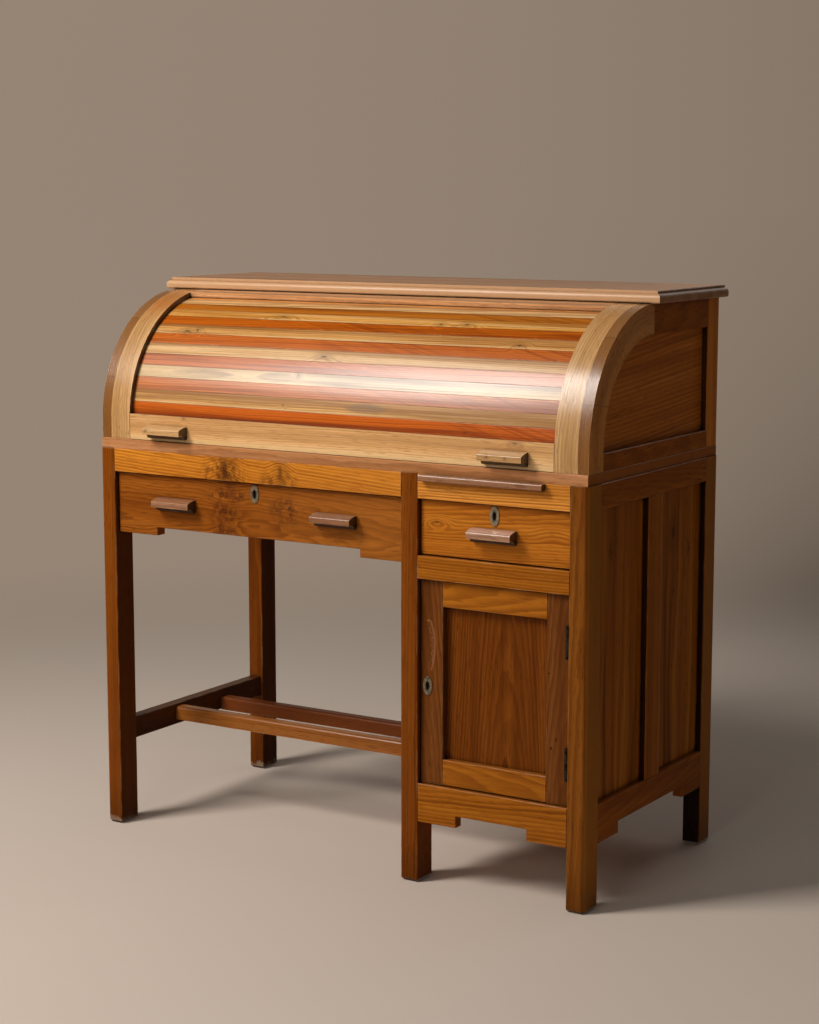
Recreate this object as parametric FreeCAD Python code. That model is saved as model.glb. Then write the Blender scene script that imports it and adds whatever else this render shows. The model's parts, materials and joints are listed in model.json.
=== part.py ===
import FreeCAD, Part
import math
import os
from collections import namedtuple

# A cylinder desk: a legged base with a kneehole drawer, a cupboard pedestal on the right, and an upper
# case closed by a rigid coopered fall that turns about two pivots in the gables.
# Millimetres and degrees. +X is the sitter's right, +Y the back, +Z up; the origin is on the floor,
# under the middle of the whole desk.

# Overall sizes
desk_width = 1092.0
desk_depth = 542.0
base_height = 770.0
pedestal_width = 312.0
board_thickness = 20.0
board_inset = 3.0
arch_foot = 35.0
arch_inset = 6.0
case_inset = 3.0

# Legs, rails and panels of the base
leg_width = 36.0
leg_depth = 52.0
leg_corner_radius = 9.0
foot_chamfer = 5.0
frame_thickness = 20.0
top_rail_height = 46.0
middle_rail_height = 43.0
floor_clearance = 118.0
bottom_rail_height = 73.0
bottom_rail_rise = 22.0
bottom_rail_lug = 82.0
muntin_width = 60.0
panel_recess = 12.0
panel_thickness = 6.0
groove_depth = 8.0
groove_play = 0.2
floor_thickness = 12.0
arris = 1.2

# Stretcher and foot rails
stretcher_drop = 24.0
stretcher_height = 44.0
stretcher_thickness = 24.0
foot_rail_size = 28.0
foot_rail_round = 6.0
front_foot_rail_inset = 190.0
front_foot_rail_drop = 14.0
rear_foot_rail_inset = 168.0
rear_foot_rail_drop = 25.0

# Drawers
front_recess = 10.0
front_thickness = 24.0
fit_gap = 1.5
pedestal_drawer_height = 105.0
knee_drawer_height = 105.0
knee_lug_drop = 16.0
knee_lug_width = 95.0
drawer_back_gap = 58.0
drawer_side_thickness = 12.0
drawer_side_height = 80.0
drawer_bottom_thickness = 6.0
drawer_bottom_lift = 8.0
drawer_groove_depth = 5.0
dovetail_count = 3
dovetail_length = 15.0
dovetail_neck_share = 0.4
dovetail_flare_share = 0.62
runner_width = 26.0
runner_height = 14.0
running_play = 0.3

# Writing slide under the board
slide_left_offset = 9.0
slide_right_offset = 49.0
slide_length = 330.0
slide_thickness = 10.0
slide_bearing = 16.0
lip_height = 12.0
lip_depth = 15.0
lip_overlap = 6.0
lip_round = 3.0
slide_runner_height = 14.0

# Pulls and locks
pull_length = 90.0
pull_reach = 26.0
pull_back_height = 25.0
pull_nose_height = 11.0
pull_top_fall = 6.0
pull_crown = 1.5
pull_nose_round = 3.0
pull_root_share = 0.35
pull_cove_shares = (0.54, 0.29)
drawer_pull_drop = 43.0
knee_pull_inset = 148.0
fall_pull_inset = 97.0
fall_pull_lift = 7.0
escutcheon_width = 19.0
escutcheon_height = 36.0
escutcheon_thickness = 1.6
keyhole_radius = 3.0
keyhole_slot = 3.0
keyhole_drop = 9.0
drawer_key_setback = 20.0
door_key_setback = 15.0
door_lock_height = 184.0
lock_width = 50.0
lock_height = 36.0
lock_depth = 13.0
lock_play = 0.2
bolt_width = 22.0
bolt_length = 26.0
bolt_thickness = 5.0
bolt_wall = 1.0
bolt_throw = 8.0
bolt_play = 0.3

# Door and its butt hinges
door_thickness = 22.0
door_stile_width = 47.0
door_rail_height = 48.0
door_panel_recess = 14.0
door_panel_thickness = 6.0
hinge_height = 60.0
hinge_leaf_thickness = 1.2
hinge_leaf_width = 18.0
hinge_knuckle_radius = 4.0
hinge_knuckles = 5
hinge_pin_radius = 1.5
hinge_pin_play = 0.05
hinge_play = 0.3
lower_hinge_lift = 47.0
upper_hinge_drop = 54.0

# Upper case
gable_thickness = 22.0
gable_frame_width = 55.0
gable_bottom_rail = 32.0
gable_post_width = 48.0
band_width = 46.0
band_thickness = 9.5
head_rail_angle = 78.5
head_rail_run = 20.0
back_board_thickness = 10.0
back_board_setback = 4.0
back_board_count = 3
top_thickness = 23.0
top_overhang = 15.0
top_reach = 17.0
top_step = 5.0
top_step_inset = 8.0
top_nose_round = 9.0
top_under_round = 4.0

# Fall
fall_band_gap = 1.0
fall_end_gap = 0.8
fall_seat_gap = 0.8
fall_swing_gap = 29.5
fall_thickness = 16.0
fall_rail_thickness = 24.0
stave_count = 14
first_stave_angle = 3.6
fall_end_angle = 87.6
rib_depth = 18.0
rib_thickness = 12.0
rib_seat_gap = 0.1
spoke_width = 24.0
hub_radius = 22.0
pivot_plate_thickness = 1.5
pivot_plate_size = 56.0
pivot_plate_round = 6.0
pivot_radius = 6.0
pivot_play = 0.05
pivot_side_gap = 0.5
pivot_end = 2.0

# Pigeonholes
nest_side_gap = 60.0
nest_height = 130.0
nest_depth = 130.0
nest_board_thickness = 8.0
nest_back_thickness = 5.0
nest_clearance = 8.0
nest_bays = 6

# One overrun serves every cut
overrun = 5.0

Vector = FreeCAD.Vector
Box = namedtuple("Box", "x y z")

# Places worked out from the sizes above
front_reach = max(pull_reach - front_recess, pull_reach - arch_inset, lip_depth)
left = -desk_width / 2
right = desk_width / 2
front = (front_reach - desk_depth) / 2
back = front + desk_depth
pedestal_x = (right - leg_width - pedestal_width, right - leg_width)
middle_x = (pedestal_x[0] - leg_width, pedestal_x[0])
knee_x = (left + leg_width, middle_x[0])
between_legs_y = (front + leg_depth, back - leg_depth)
front_frame_y = (front, front + frame_thickness)
back_frame_y = (back - frame_thickness, back)
top_rail_z = (base_height - top_rail_height, base_height)
drawer_opening_z = (top_rail_z[0] - pedestal_drawer_height, top_rail_z[0])
middle_rail_z = (drawer_opening_z[0] - middle_rail_height, drawer_opening_z[0])
bottom_rail_z = (floor_clearance, floor_clearance + bottom_rail_height)
front_face_y = front + front_recess
front_y = (front_face_y, front_face_y + front_thickness)
knee_front_z = (top_rail_z[0] - fit_gap - knee_drawer_height, top_rail_z[0] - fit_gap)
knee_lug_bottom = knee_front_z[0] - knee_lug_drop
drawer_y = (front_y[1], back_frame_y[0] - drawer_back_gap)
runner_y = (front_y[1] + fit_gap, between_legs_y[1] + leg_depth / 2)
board_top = base_height + board_thickness
case_front = front + arch_inset
case_back = back - case_inset
back_board_y = (case_back - back_board_setback - back_board_thickness, case_back - back_board_setback)
fall_setback = band_thickness + fall_band_gap
arch_radius = (back_board_y[0] - fall_swing_gap + fall_setback - case_front) / 2
axis_y = case_front + arch_radius
axis_z = board_top + arch_foot
case_top = axis_z + arch_radius
gable_inside = right - case_inset - gable_thickness
band_inside = gable_inside - band_width
gable_x = (-right + case_inset, -gable_inside)
gable_panel_x = (gable_x[0] + panel_recess, gable_x[0] + panel_recess + panel_thickness)
post_y = (case_back - gable_post_width, case_back)
fall_outer = arch_radius - fall_setback
fall_inner = fall_outer - fall_thickness
stave_angle = (fall_end_angle - first_stave_angle) / stave_count
fall_half = gable_inside - fall_end_gap
rib_x = (-gable_inside + pivot_plate_thickness + pivot_side_gap,
         -gable_inside + pivot_plate_thickness + pivot_side_gap + rib_thickness)
door_x = (pedestal_x[0] + fit_gap, pedestal_x[1] - fit_gap)
door_y = (front_face_y, front_face_y + door_thickness)
door_z = (bottom_rail_z[1] + fit_gap, middle_rail_z[0] - fit_gap)
pin_x = pedestal_x[1] - hinge_knuckle_radius - hinge_play
pin_y = front_face_y - hinge_knuckle_radius - hinge_play
hinge_lows = (door_z[0] + lower_hinge_lift, door_z[1] - upper_hinge_drop - hinge_height)
lip_x = (pedestal_x[0] + slide_left_offset, pedestal_x[1] - slide_right_offset)
slide_x = (lip_x[0] + lip_overlap, lip_x[1] - lip_overlap)
slide_z = (base_height - running_play - slide_thickness, base_height - running_play)
nest_top = board_top + nest_height
nest_back = axis_y + math.sqrt((fall_inner - nest_clearance) ** 2 - (nest_top - axis_z) ** 2)
nest_y = (nest_back - nest_depth, nest_back)
nest_half = gable_inside - nest_side_gap
pedestal_legs = ("leg_front_middle", "leg_front_right", "leg_rear_middle", "leg_rear_right")


# Helpers

def middle(span):
    """Middle of a span."""
    return (span[0] + span[1]) / 2


def about(centre, size):
    """Span of a size about its middle."""
    return centre - size / 2, centre + size / 2


def grown(box, play):
    """A box made larger by the play on every side."""
    return Box(*[(low - play, high + play) for low, high in box])


def block(box):
    """Solid box over three spans."""
    size = [high - low for low, high in box]
    return Part.makeBox(*size, Vector(box.x[0], box.y[0], box.z[0]))


def mirrored(shape):
    """The same piece for the other side of the desk."""
    return shape.mirror(Vector(0, 0, 0), Vector(1, 0, 0))


def pair(shape):
    """A left piece and its mirror image on the right."""
    return [shape, mirrored(shape)]


def along(axis):
    """Chooses straight edges that run along an axis, 0 for X, 1 for Y and 2 for Z."""
    def chosen(edge):
        run = edge.Vertexes[-1].Point - edge.Vertexes[0].Point
        return run.Length > arris and abs(abs(run[axis]) - run.Length) < arris / 100
    return chosen


def on_plane(axis, value):
    """Chooses the edges that lie wholly on a plane square to an axis."""
    def chosen(edge):
        return all(abs(vertex.Point[axis] - value) < arris / 100 for vertex in edge.Vertexes)
    return chosen


def eased(shape, *choosers, size=arris):
    """Takes the sharp corner off the chosen edges."""
    edges = [edge for edge in shape.Edges if any(chosen(edge) for chosen in choosers)]
    return shape.makeChamfer(size, edges)


def rounded(shape, radius, *choosers):
    """Rounds the edges that every chooser accepts."""
    edges = [edge for edge in shape.Edges if all(chosen(edge) for chosen in choosers)]
    return shape.makeFillet(radius, edges)


def outline(normal, start, *legs):
    """Face from a start point and legs in the plane square to X or Y; a leg of two points is an arc."""
    def at(point):
        return Vector(0, *point) if normal == "x" else Vector(point[0], 0, point[1])

    edges = []
    here = at(start)
    for leg in legs:
        points = [at(point) for point in leg]
        curve = Part.LineSegment(here, *points) if len(points) == 1 else Part.Arc(here, *points)
        edges.append(curve.toShape())
        here = points[-1]
    return Part.Face(Part.Wire(edges))


def polygon(normal, points):
    """Straight-sided face in the plane square to X or Y."""
    return outline(normal, points[0], *[[point] for point in points[1:] + points[:1]])


def prism(normal, face, span):
    """Face pushed along its normal over a span."""
    way = Vector(1, 0, 0) if normal == "x" else Vector(0, 1, 0)
    return face.translated(way * span[0]).extrude(way * (span[1] - span[0]))


def arch_point(radius, angle):
    """(y, z) on a circle about the fall's axis; 0 degrees is level and to the front, 90 is the crown."""
    turn = math.radians(angle)
    return axis_y - radius * math.cos(turn), axis_z + radius * math.sin(turn)


def arch_strip(inner, outer, run):
    """Upright, quarter arch and level run between two radii, as a face square to X."""
    ends = [[(axis_y + run, axis_z + outer)]] if run else []
    turns = [[(axis_y, axis_z + inner)]] if run else []
    return outline("x", (axis_y - outer, board_top),
                   [arch_point(outer, 0)],
                   [arch_point(outer, 45), arch_point(outer, 90)],
                   *ends,
                   [(axis_y + run, axis_z + inner)],
                   *turns,
                   [arch_point(inner, 45), arch_point(inner, 0)],
                   [(axis_y - inner, board_top)],
                   [(axis_y - outer, board_top)])


def ring_sector(inner, outer, low, high):
    """Part of a ring about the fall's axis, as a face square to X."""
    mid = (low + high) / 2
    return outline("x", arch_point(outer, low),
                   [arch_point(outer, mid), arch_point(outer, high)],
                   [arch_point(inner, high)],
                   [arch_point(inner, mid), arch_point(inner, low)],
                   [arch_point(outer, low)])


def lugged(span, low, high, lug, rise):
    """Outline of a rail whose lower edge is cut up between two end lugs."""
    return [(span[0], high), (span[0], low), (span[0] + lug, low), (span[0] + lug, low + rise),
            (span[1] - lug, low + rise), (span[1] - lug, low), (span[1], low), (span[1], high)]


# Base

def leg(x_low, y_low, outer_corner=None):
    """Square post with a chamfered foot and, on a corner leg, one rounded outer corner."""
    box = Box((x_low, x_low + leg_width), (y_low, y_low + leg_depth), (0, base_height))
    post = block(box)
    if outer_corner:
        side, end = outer_corner
        post = rounded(post, leg_corner_radius, along(2), on_plane(0, box.x[side]), on_plane(1, box.y[end]))
    post = eased(post, on_plane(2, 0), size=foot_chamfer)
    inner = [edge for edge in post.Edges if along(2)(edge) and edge.Length > base_height / 2]
    sharp = [edge for edge in inner if not touches_round(edge, post)]
    return post.makeChamfer(arris, sharp)


def touches_round(edge, shape):
    """True for an edge that borders a round face."""
    faces = shape.ancestorsOfType(edge, Part.Face)
    return any(isinstance(face.Surface, Part.Cylinder) for face in faces)


def legs():
    """Six legs: three along the front and three along the back."""
    columns = {"left": (left, 0), "middle": (middle_x[0], None), "right": (pedestal_x[1], 1)}
    rows = {"front": (front, 0), "rear": (back - leg_depth, 1)}
    nodes = {}
    for row, (y_low, end) in rows.items():
        for column, (x_low, side) in columns.items():
            corner = None if side is None else (side, end)
            nodes[f"leg_{row}_{column}"] = [leg(x_low, y_low, corner)]
    return nodes


def front_rails():
    """Rails of the front, with the slot that the writing slide passes through."""
    knee = eased(block(Box(knee_x, front_frame_y, top_rail_z)), along(0))
    pedestal = eased(block(Box(pedestal_x, front_frame_y, top_rail_z)), along(0))
    slot = Box((slide_x[0] - running_play, slide_x[1] + running_play),
               (front - overrun, front + frame_thickness + overrun),
               (slide_z[0] - running_play, base_height + overrun))
    middle_rail = eased(block(Box(pedestal_x, front_frame_y, middle_rail_z)), along(0))
    apron = lugged(pedestal_x, *bottom_rail_z, bottom_rail_lug, bottom_rail_rise)
    apron = eased(prism("y", polygon("y", apron), front_frame_y), on_plane(1, front))
    return {"knee_front_rail": [knee],
            "pedestal_front_rail": [pedestal.cut(block(slot))],
            "pedestal_middle_rail": [middle_rail],
            "pedestal_apron": [apron]}


def side_panels(face_x, inward):
    """Boxes of the two panels between the legs of one side of the pedestal."""
    near = face_x + inward * panel_recess
    x_span = tuple(sorted((near, near + inward * panel_thickness)))
    centre = middle(between_legs_y)
    bays = ((between_legs_y[0], centre - muntin_width / 2), (centre + muntin_width / 2, between_legs_y[1]))
    z_span = (bottom_rail_z[1] - groove_depth, top_rail_z[0] + groove_depth)
    return [Box(x_span, (low - groove_depth, high + groove_depth), z_span) for low, high in bays]


def pedestal_side(face_x, inward):
    """Rails, muntin and panels of one side of the pedestal; inward is the way into the cupboard."""
    x_span = tuple(sorted((face_x, face_x + inward * frame_thickness)))
    centre = middle(between_legs_y)
    muntin_y = (centre - muntin_width / 2, centre + muntin_width / 2)
    panels = side_panels(face_x, inward)
    grooves = Part.makeCompound([block(grown(panel, groove_play)) for panel in panels])
    top_rail = eased(block(Box(x_span, between_legs_y, top_rail_z)), along(1))
    bottom_rail = lugged(between_legs_y, *bottom_rail_z, bottom_rail_lug, bottom_rail_rise)
    bottom_rail = eased(prism("x", polygon("x", bottom_rail), x_span), on_plane(0, face_x))
    muntin = block(Box(x_span, muntin_y, (bottom_rail_z[1], top_rail_z[0])))
    rails = [top_rail.cut(grooves), bottom_rail.cut(grooves)]
    return rails, [eased(muntin, along(2)).cut(grooves)], [block(panel) for panel in panels]


def pedestal_back_box():
    """Box of the panel that closes the back of the pedestal."""
    y_span = (back - panel_recess - panel_thickness, back - panel_recess)
    return Box((pedestal_x[0] - groove_depth, pedestal_x[1] + groove_depth), y_span,
               (bottom_rail_z[1] - groove_depth, top_rail_z[0] + groove_depth))


def back_frame():
    """Rails along the back, and the panel of the pedestal's back."""
    panel = pedestal_back_box()
    groove = block(grown(panel, groove_play))
    knee = eased(block(Box(knee_x, back_frame_y, (knee_lug_bottom, base_height))), along(0))
    top_rail = eased(block(Box(pedestal_x, back_frame_y, top_rail_z)), along(0)).cut(groove)
    low_z = (bottom_rail_z[0] + bottom_rail_rise, bottom_rail_z[1])
    bottom_rail = eased(block(Box(pedestal_x, back_frame_y, low_z)), along(0)).cut(groove)
    return {"back_rails": [knee, top_rail, bottom_rail], "pedestal_back_panel": [block(panel)]}


def pedestal_floor(corner_posts):
    """Board between the bottom rails, notched round the four legs of the pedestal."""
    floor = block(Box((middle_x[0] + frame_thickness, right - frame_thickness),
                      (front + frame_thickness, back - frame_thickness),
                      (bottom_rail_z[1] - floor_thickness, bottom_rail_z[1])))
    return [floor.cut(Part.makeCompound(corner_posts))]


def stretchers():
    """Stretcher between the left legs, and the two foot rails from it to the pedestal."""
    centre = left + leg_width / 2
    span = (centre - stretcher_thickness / 2, centre + stretcher_thickness / 2)
    low = bottom_rail_z[1] - stretcher_drop
    bar = Box(span, between_legs_y, (low, low + stretcher_height))
    nodes = {"left_stretcher": [eased(block(bar), along(1))]}
    rear_y = back - rear_foot_rail_inset - foot_rail_size
    places = {"front_foot_rail": (front + front_foot_rail_inset, front_foot_rail_drop),
              "rear_foot_rail": (rear_y, rear_foot_rail_drop)}
    for name, (y_low, drop) in places.items():
        low = bottom_rail_z[1] - drop
        box = Box((span[1], middle_x[0]), (y_low, y_low + foot_rail_size), (low, low + foot_rail_size))
        nodes[name] = [rounded(block(box), foot_rail_round, along(0), on_plane(2, box.z[1]))]
    return nodes


def runners():
    """Bearers of the two drawers and of the writing slide, fixed to the legs' inner faces."""
    knee_z = (knee_front_z[0] - runner_height, knee_front_z[0])
    pedestal_z = (drawer_opening_z[0] - runner_height, drawer_opening_z[0])
    solids = []
    for span, z_span in ((knee_x, knee_z), (pedestal_x, pedestal_z)):
        solids.append(block(Box((span[0], span[0] + runner_width), runner_y, z_span)))
        solids.append(block(Box((span[1] - runner_width, span[1]), runner_y, z_span)))
    slide_low = slide_z[0] - running_play
    bearer_z = (slide_low - slide_runner_height, slide_low)
    bearer_y = (front + frame_thickness, runner_y[1])
    solids.append(block(Box((pedestal_x[0], slide_x[0] + slide_bearing), bearer_y, bearer_z)))
    solids.append(block(Box((slide_x[1] - slide_bearing, pedestal_x[1]), bearer_y, bearer_z)))
    return {"runners": solids}


def writing_board():
    """Board that covers the base and floors the upper case."""
    box = Box((left + board_inset, right - board_inset), (front + board_inset, back - board_inset),
              (base_height, board_top))
    return {"writing_board": [eased(block(box), on_plane(2, board_top))]}


# Hardware

def pull(x_centre, face_y, low):
    """Wooden bar pull with a sloping crowned top, a square nose and a finger cove underneath."""
    def at(out, up):
        return face_y - out, low + up

    nose_top = pull_back_height - pull_top_fall
    nose_low = nose_top - pull_nose_height
    root = pull_root_share * pull_reach
    cove = [share * pull_back_height if up else share * pull_reach
            for up, share in enumerate(pull_cove_shares)]
    crown = at(pull_reach / 2, (pull_back_height + nose_top) / 2 + pull_crown)
    face = outline("x", at(0, 0), [at(root, 0)], [at(*cove), at(pull_reach, nose_low)],
                   [at(pull_reach, nose_top)], [crown, at(0, pull_back_height)], [at(0, 0)])
    bar = prism("x", face, (x_centre - pull_length / 2, x_centre + pull_length / 2))
    edge = [on_plane(1, face_y - pull_reach), on_plane(2, low + nose_top)]
    return rounded(bar, pull_nose_round, *edge)


def keyhole(x, z, y_span):
    """Solid of a keyhole about a point: a round hole over a slot."""
    depth = y_span[1] - y_span[0]
    top = z + (keyhole_drop - keyhole_radius) / 2
    hole = Part.makeCylinder(keyhole_radius, depth, Vector(x, y_span[0], top), Vector(0, 1, 0))
    return hole.fuse(block(Box(about(x, keyhole_slot), y_span, (top - keyhole_drop, top))))


def escutcheon(x, z, face_y):
    """Oval key plate."""
    oval = Part.Ellipse(Vector(0, escutcheon_height / 2, 0), Vector(escutcheon_width / 2, 0, 0), Vector())
    plate = Part.Face(Part.Wire(oval.toShape())).extrude(Vector(0, 0, escutcheon_thickness))
    plate.rotate(Vector(), Vector(1, 0, 0), 90)
    plate.translate(Vector(x, face_y, z))
    return plate


def lock_box(way, across, y_span, out):
    """Box given across a lock's bolt, through the wood, and along the bolt's throw, up or to the left."""
    return Box(across, y_span, out) if way == "up" else Box((-out[1], -out[0]), y_span, across)


def bolt_box(way, centre, edge, back_y, thrown):
    """Box of a lock's bolt, which is flush with the wood's edge when it is drawn back."""
    y_low = back_y - lock_depth + bolt_wall
    return lock_box(way, about(centre, bolt_width), (y_low, y_low + bolt_thickness),
                    (edge - bolt_length + thrown, edge + thrown))


def fitted_lock(wood, way, centre, edge, thickness, setback):
    """Wood with a lock let into its back and edge, then the key plate with the lock's case, and the bolt."""
    back_y = front_face_y + thickness
    case = lock_box(way, about(centre, lock_width), (back_y - lock_depth, back_y), (edge - lock_height, edge))
    bolt = bolt_box(way, centre, edge, back_y, 0)
    place = lock_box(way, (centre, centre), (front_face_y, back_y), (edge - setback, edge - setback))
    key_y = (front_face_y - escutcheon_thickness - overrun, case.y[0])
    key = keyhole(place.x[0], place.z[0], key_y)
    plate = escutcheon(place.x[0], place.z[0], front_face_y).cut(key)
    hollow_case = block(case).cut(block(grown(bolt, bolt_play)))
    return wood.cut([block(grown(case, lock_play)), key]), [plate, hollow_case], [block(bolt)]


# Drawers and slide

def dovetails(x_span, z_span):
    """Tails on the end of a drawer's side, which are let into the back of the drawer's front."""
    pitch = (z_span[1] - z_span[0]) / dovetail_count
    far_y = front_y[1] - dovetail_length
    tails = []
    for index in range(dovetail_count):
        centre = z_span[0] + index * pitch + pitch / 2
        neck = about(centre, dovetail_neck_share * pitch)
        flare = about(centre, dovetail_flare_share * pitch)
        points = [(front_y[1], neck[0]), (far_y, flare[0]), (far_y, flare[1]), (front_y[1], neck[1])]
        tails.append(prism("x", polygon("x", points), x_span))
    return tails


def drawer(name, opening, front_solid, box_low, pull_centres, edge):
    """Nodes of one drawer: front, box with its bottom, pulls, lock and bolt."""
    x_span = (opening[0] + fit_gap, opening[1] - fit_gap)
    z_span = (box_low, box_low + drawer_side_height)
    inner_x = (x_span[0] + drawer_side_thickness, x_span[1] - drawer_side_thickness)
    back_y = (drawer_y[1] - drawer_side_thickness, drawer_y[1])
    low = box_low + drawer_bottom_lift
    bottom = Box((inner_x[0] - drawer_groove_depth, inner_x[1] + drawer_groove_depth),
                 (drawer_y[0] - drawer_groove_depth, back_y[0] + drawer_groove_depth),
                 (low, low + drawer_bottom_thickness))
    groove = block(grown(bottom, groove_play))
    box = [eased(block(Box(inner_x, back_y, z_span)), on_plane(2, z_span[1])).cut(groove), block(bottom)]
    for side_x in ((x_span[0], inner_x[0]), (inner_x[1], x_span[1])):
        tails = dovetails(side_x, z_span)
        front_solid = front_solid.cut(tails)
        side = eased(block(Box(side_x, drawer_y, z_span)), on_plane(2, z_span[1]))
        box.append(side.fuse(tails).removeSplitter().cut(groove))
    front_solid, lock, bolt = fitted_lock(front_solid.cut(groove), "up", middle(opening), edge,
                                          front_thickness, drawer_key_setback)
    pull_low = edge - drawer_pull_drop - pull_back_height
    pulls = [pull(centre, front_face_y, pull_low) for centre in pull_centres]
    return {f"{name}_front": [front_solid],
            f"{name}_box": box,
            f"{name}_pulls": pulls,
            f"{name}_lock": lock,
            f"{name}_bolt": bolt}


def knee_drawer():
    """Wide drawer over the kneehole; its front hangs down at the ends over the runners."""
    span = (knee_x[0] + fit_gap, knee_x[1] - fit_gap)
    shape = lugged(span, knee_lug_bottom, knee_front_z[1], knee_lug_width, knee_lug_drop)
    solid = eased(prism("y", polygon("y", shape), front_y), on_plane(1, front_face_y))
    centres = [knee_x[0] + knee_pull_inset, knee_x[1] - knee_pull_inset]
    return drawer("knee_drawer", knee_x, solid, knee_front_z[0] + running_play, centres, knee_front_z[1])


def pedestal_drawer():
    """Drawer over the cupboard."""
    box = Box((pedestal_x[0] + fit_gap, pedestal_x[1] - fit_gap), front_y,
              (drawer_opening_z[0] + fit_gap, drawer_opening_z[1] - fit_gap))
    solid = eased(block(box), on_plane(1, front_face_y))
    return drawer("pedestal_drawer", pedestal_x, solid, drawer_opening_z[0] + running_play,
                  [middle(pedestal_x)], box.z[1])


def writing_slide():
    """Pull-out slide under the board, and the lip that it is drawn out by."""
    lip_y = (front - lip_depth, front - running_play)
    board = Box(slide_x, (lip_y[1], lip_y[1] + slide_length), slide_z)
    lip_z = (slide_z[1] - lip_height, slide_z[1])
    lip = rounded(block(Box(lip_x, lip_y, lip_z)), lip_round, along(0), on_plane(1, lip_y[0]))
    return {"writing_slide": [block(board)], "writing_slide_lip": [lip]}


# Door

def hinge_leaf(x_span, low, own_knuckles):
    """Plate of a butt hinge with the knuckles that belong to it."""
    reach = pin_y + hinge_knuckle_radius + hinge_play
    leaf = block(Box(x_span, (reach, front_face_y + hinge_leaf_width), (low, low + hinge_height)))
    pitch = hinge_height / hinge_knuckles
    for index in own_knuckles:
        z_span = about(low + index * pitch + pitch / 2, pitch - hinge_play)
        foot = Vector(pin_x, pin_y, z_span[0])
        roll = Part.makeCylinder(hinge_knuckle_radius, z_span[1] - z_span[0], foot)
        leaf = leaf.fuse([roll, block(Box(x_span, (pin_y, reach), z_span))])
    bore = Part.makeCylinder(hinge_pin_radius + hinge_pin_play, hinge_height, Vector(pin_x, pin_y, low))
    return leaf.cut(bore)


def hinges():
    """Two butt hinges: leaves on the leg, leaves on the door, and pins."""
    frame_x = (pedestal_x[1] - hinge_leaf_thickness, pedestal_x[1])
    door_leaf_x = (door_x[1] - hinge_leaf_thickness, door_x[1])
    odd = range(1, hinge_knuckles, 2)
    even = range(0, hinge_knuckles, 2)
    feet = [Vector(pin_x, pin_y, low) for low in hinge_lows]
    return {"hinge_frame_leaves": [hinge_leaf(frame_x, low, even) for low in hinge_lows],
            "hinge_door_leaves": [hinge_leaf(door_leaf_x, low, odd) for low in hinge_lows],
            "hinge_pins": [Part.makeCylinder(hinge_pin_radius, hinge_height, foot) for foot in feet]}


def hinge_seats():
    """Recesses in the door's edge that the hinge leaves are let into."""
    x_span = (door_x[1] - hinge_leaf_thickness, door_x[1] + overrun)
    y_span = (front_face_y - overrun, front_face_y + hinge_leaf_width)
    return Part.makeCompound([block(Box(x_span, y_span, (low, low + hinge_height))) for low in hinge_lows])


def door():
    """Framed door with a recessed panel and its lock."""
    opening_x = (door_x[0] + door_stile_width, door_x[1] - door_stile_width)
    opening_z = (door_z[0] + door_rail_height, door_z[1] - door_rail_height)
    panel_y = (front_face_y + door_panel_recess, front_face_y + door_panel_recess + door_panel_thickness)
    panel = Box((opening_x[0] - groove_depth, opening_x[1] + groove_depth), panel_y,
                (opening_z[0] - groove_depth, opening_z[1] + groove_depth))
    groove = block(grown(panel, groove_play))
    lock_stile = eased(block(Box((door_x[0], opening_x[0]), door_y, door_z)), along(2)).cut(groove)
    hinge_stile = eased(block(Box((opening_x[1], door_x[1]), door_y, door_z)), along(2)).cut(groove)
    rails = [eased(block(Box(opening_x, door_y, span)), along(0)).cut(groove)
             for span in ((door_z[0], opening_z[0]), (opening_z[1], door_z[1]))]
    lock_stile, lock, bolt = fitted_lock(lock_stile, "left", door_z[0] + door_lock_height, -door_x[0],
                                         door_thickness, door_key_setback)
    return {"door_stiles": [lock_stile, hinge_stile.cut(hinge_seats())],
            "door_rails": rails,
            "door_panel": [block(panel)],
            "door_lock": lock,
            "door_bolt": bolt}


# Upper case

def gable_panel(play):
    """Panel of the left gable, made larger by the play to serve as its groove."""
    edge = groove_depth + play
    radius = arch_radius - gable_frame_width + edge
    low = board_top + gable_bottom_rail - edge
    far = post_y[0] + edge
    face = outline("x", (axis_y - radius, low),
                   [arch_point(radius, 0)],
                   [arch_point(radius, 45), arch_point(radius, 90)],
                   [(far, axis_z + radius)],
                   [(far, low)],
                   [(axis_y - radius, low)])
    return prism("x", face, (gable_panel_x[0] - play, gable_panel_x[1] + play))


def gables():
    """Framed gables with an arched front stile, and the bands that hide the ends of the fall."""
    groove = gable_panel(groove_play)
    inner = arch_radius - gable_frame_width
    stile = prism("x", arch_strip(inner, arch_radius, 0), gable_x)
    post = eased(block(Box(gable_x, post_y, (board_top, case_top))), along(2))
    top_rail = Box(gable_x, (axis_y, post_y[0]), (axis_z + inner, case_top))
    bottom_rail = Box(gable_x, (axis_y - inner, post_y[0]), (board_top, board_top + gable_bottom_rail))
    low_rail = eased(block(bottom_rail), along(1))
    rails = pair(block(top_rail).cut(groove)) + pair(low_rail.cut(groove))
    band = prism("x", arch_strip(arch_radius - band_thickness, arch_radius, head_rail_run),
                 (-gable_inside, -band_inside))
    return {"gable_stiles": pair(stile.cut(groove)),
            "gable_posts": pair(post.cut(groove)),
            "gable_rails": rails,
            "gable_panels": pair(gable_panel(0)),
            "arch_bands": pair(band)}


def head_rail():
    """Rail under the top board that the fall passes behind."""
    inner = arch_radius - band_thickness
    mid = (head_rail_angle + 90) / 2
    end_y = axis_y + head_rail_run
    face = outline("x", arch_point(arch_radius, head_rail_angle),
                   [arch_point(arch_radius, mid), arch_point(arch_radius, 90)],
                   [(end_y, case_top)],
                   [(end_y, axis_z + inner)],
                   [arch_point(inner, 90)],
                   [arch_point(inner, mid), arch_point(inner, head_rail_angle)],
                   [arch_point(arch_radius, head_rail_angle)])
    return {"head_rail": [prism("x", face, (-band_inside, band_inside))]}


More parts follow.
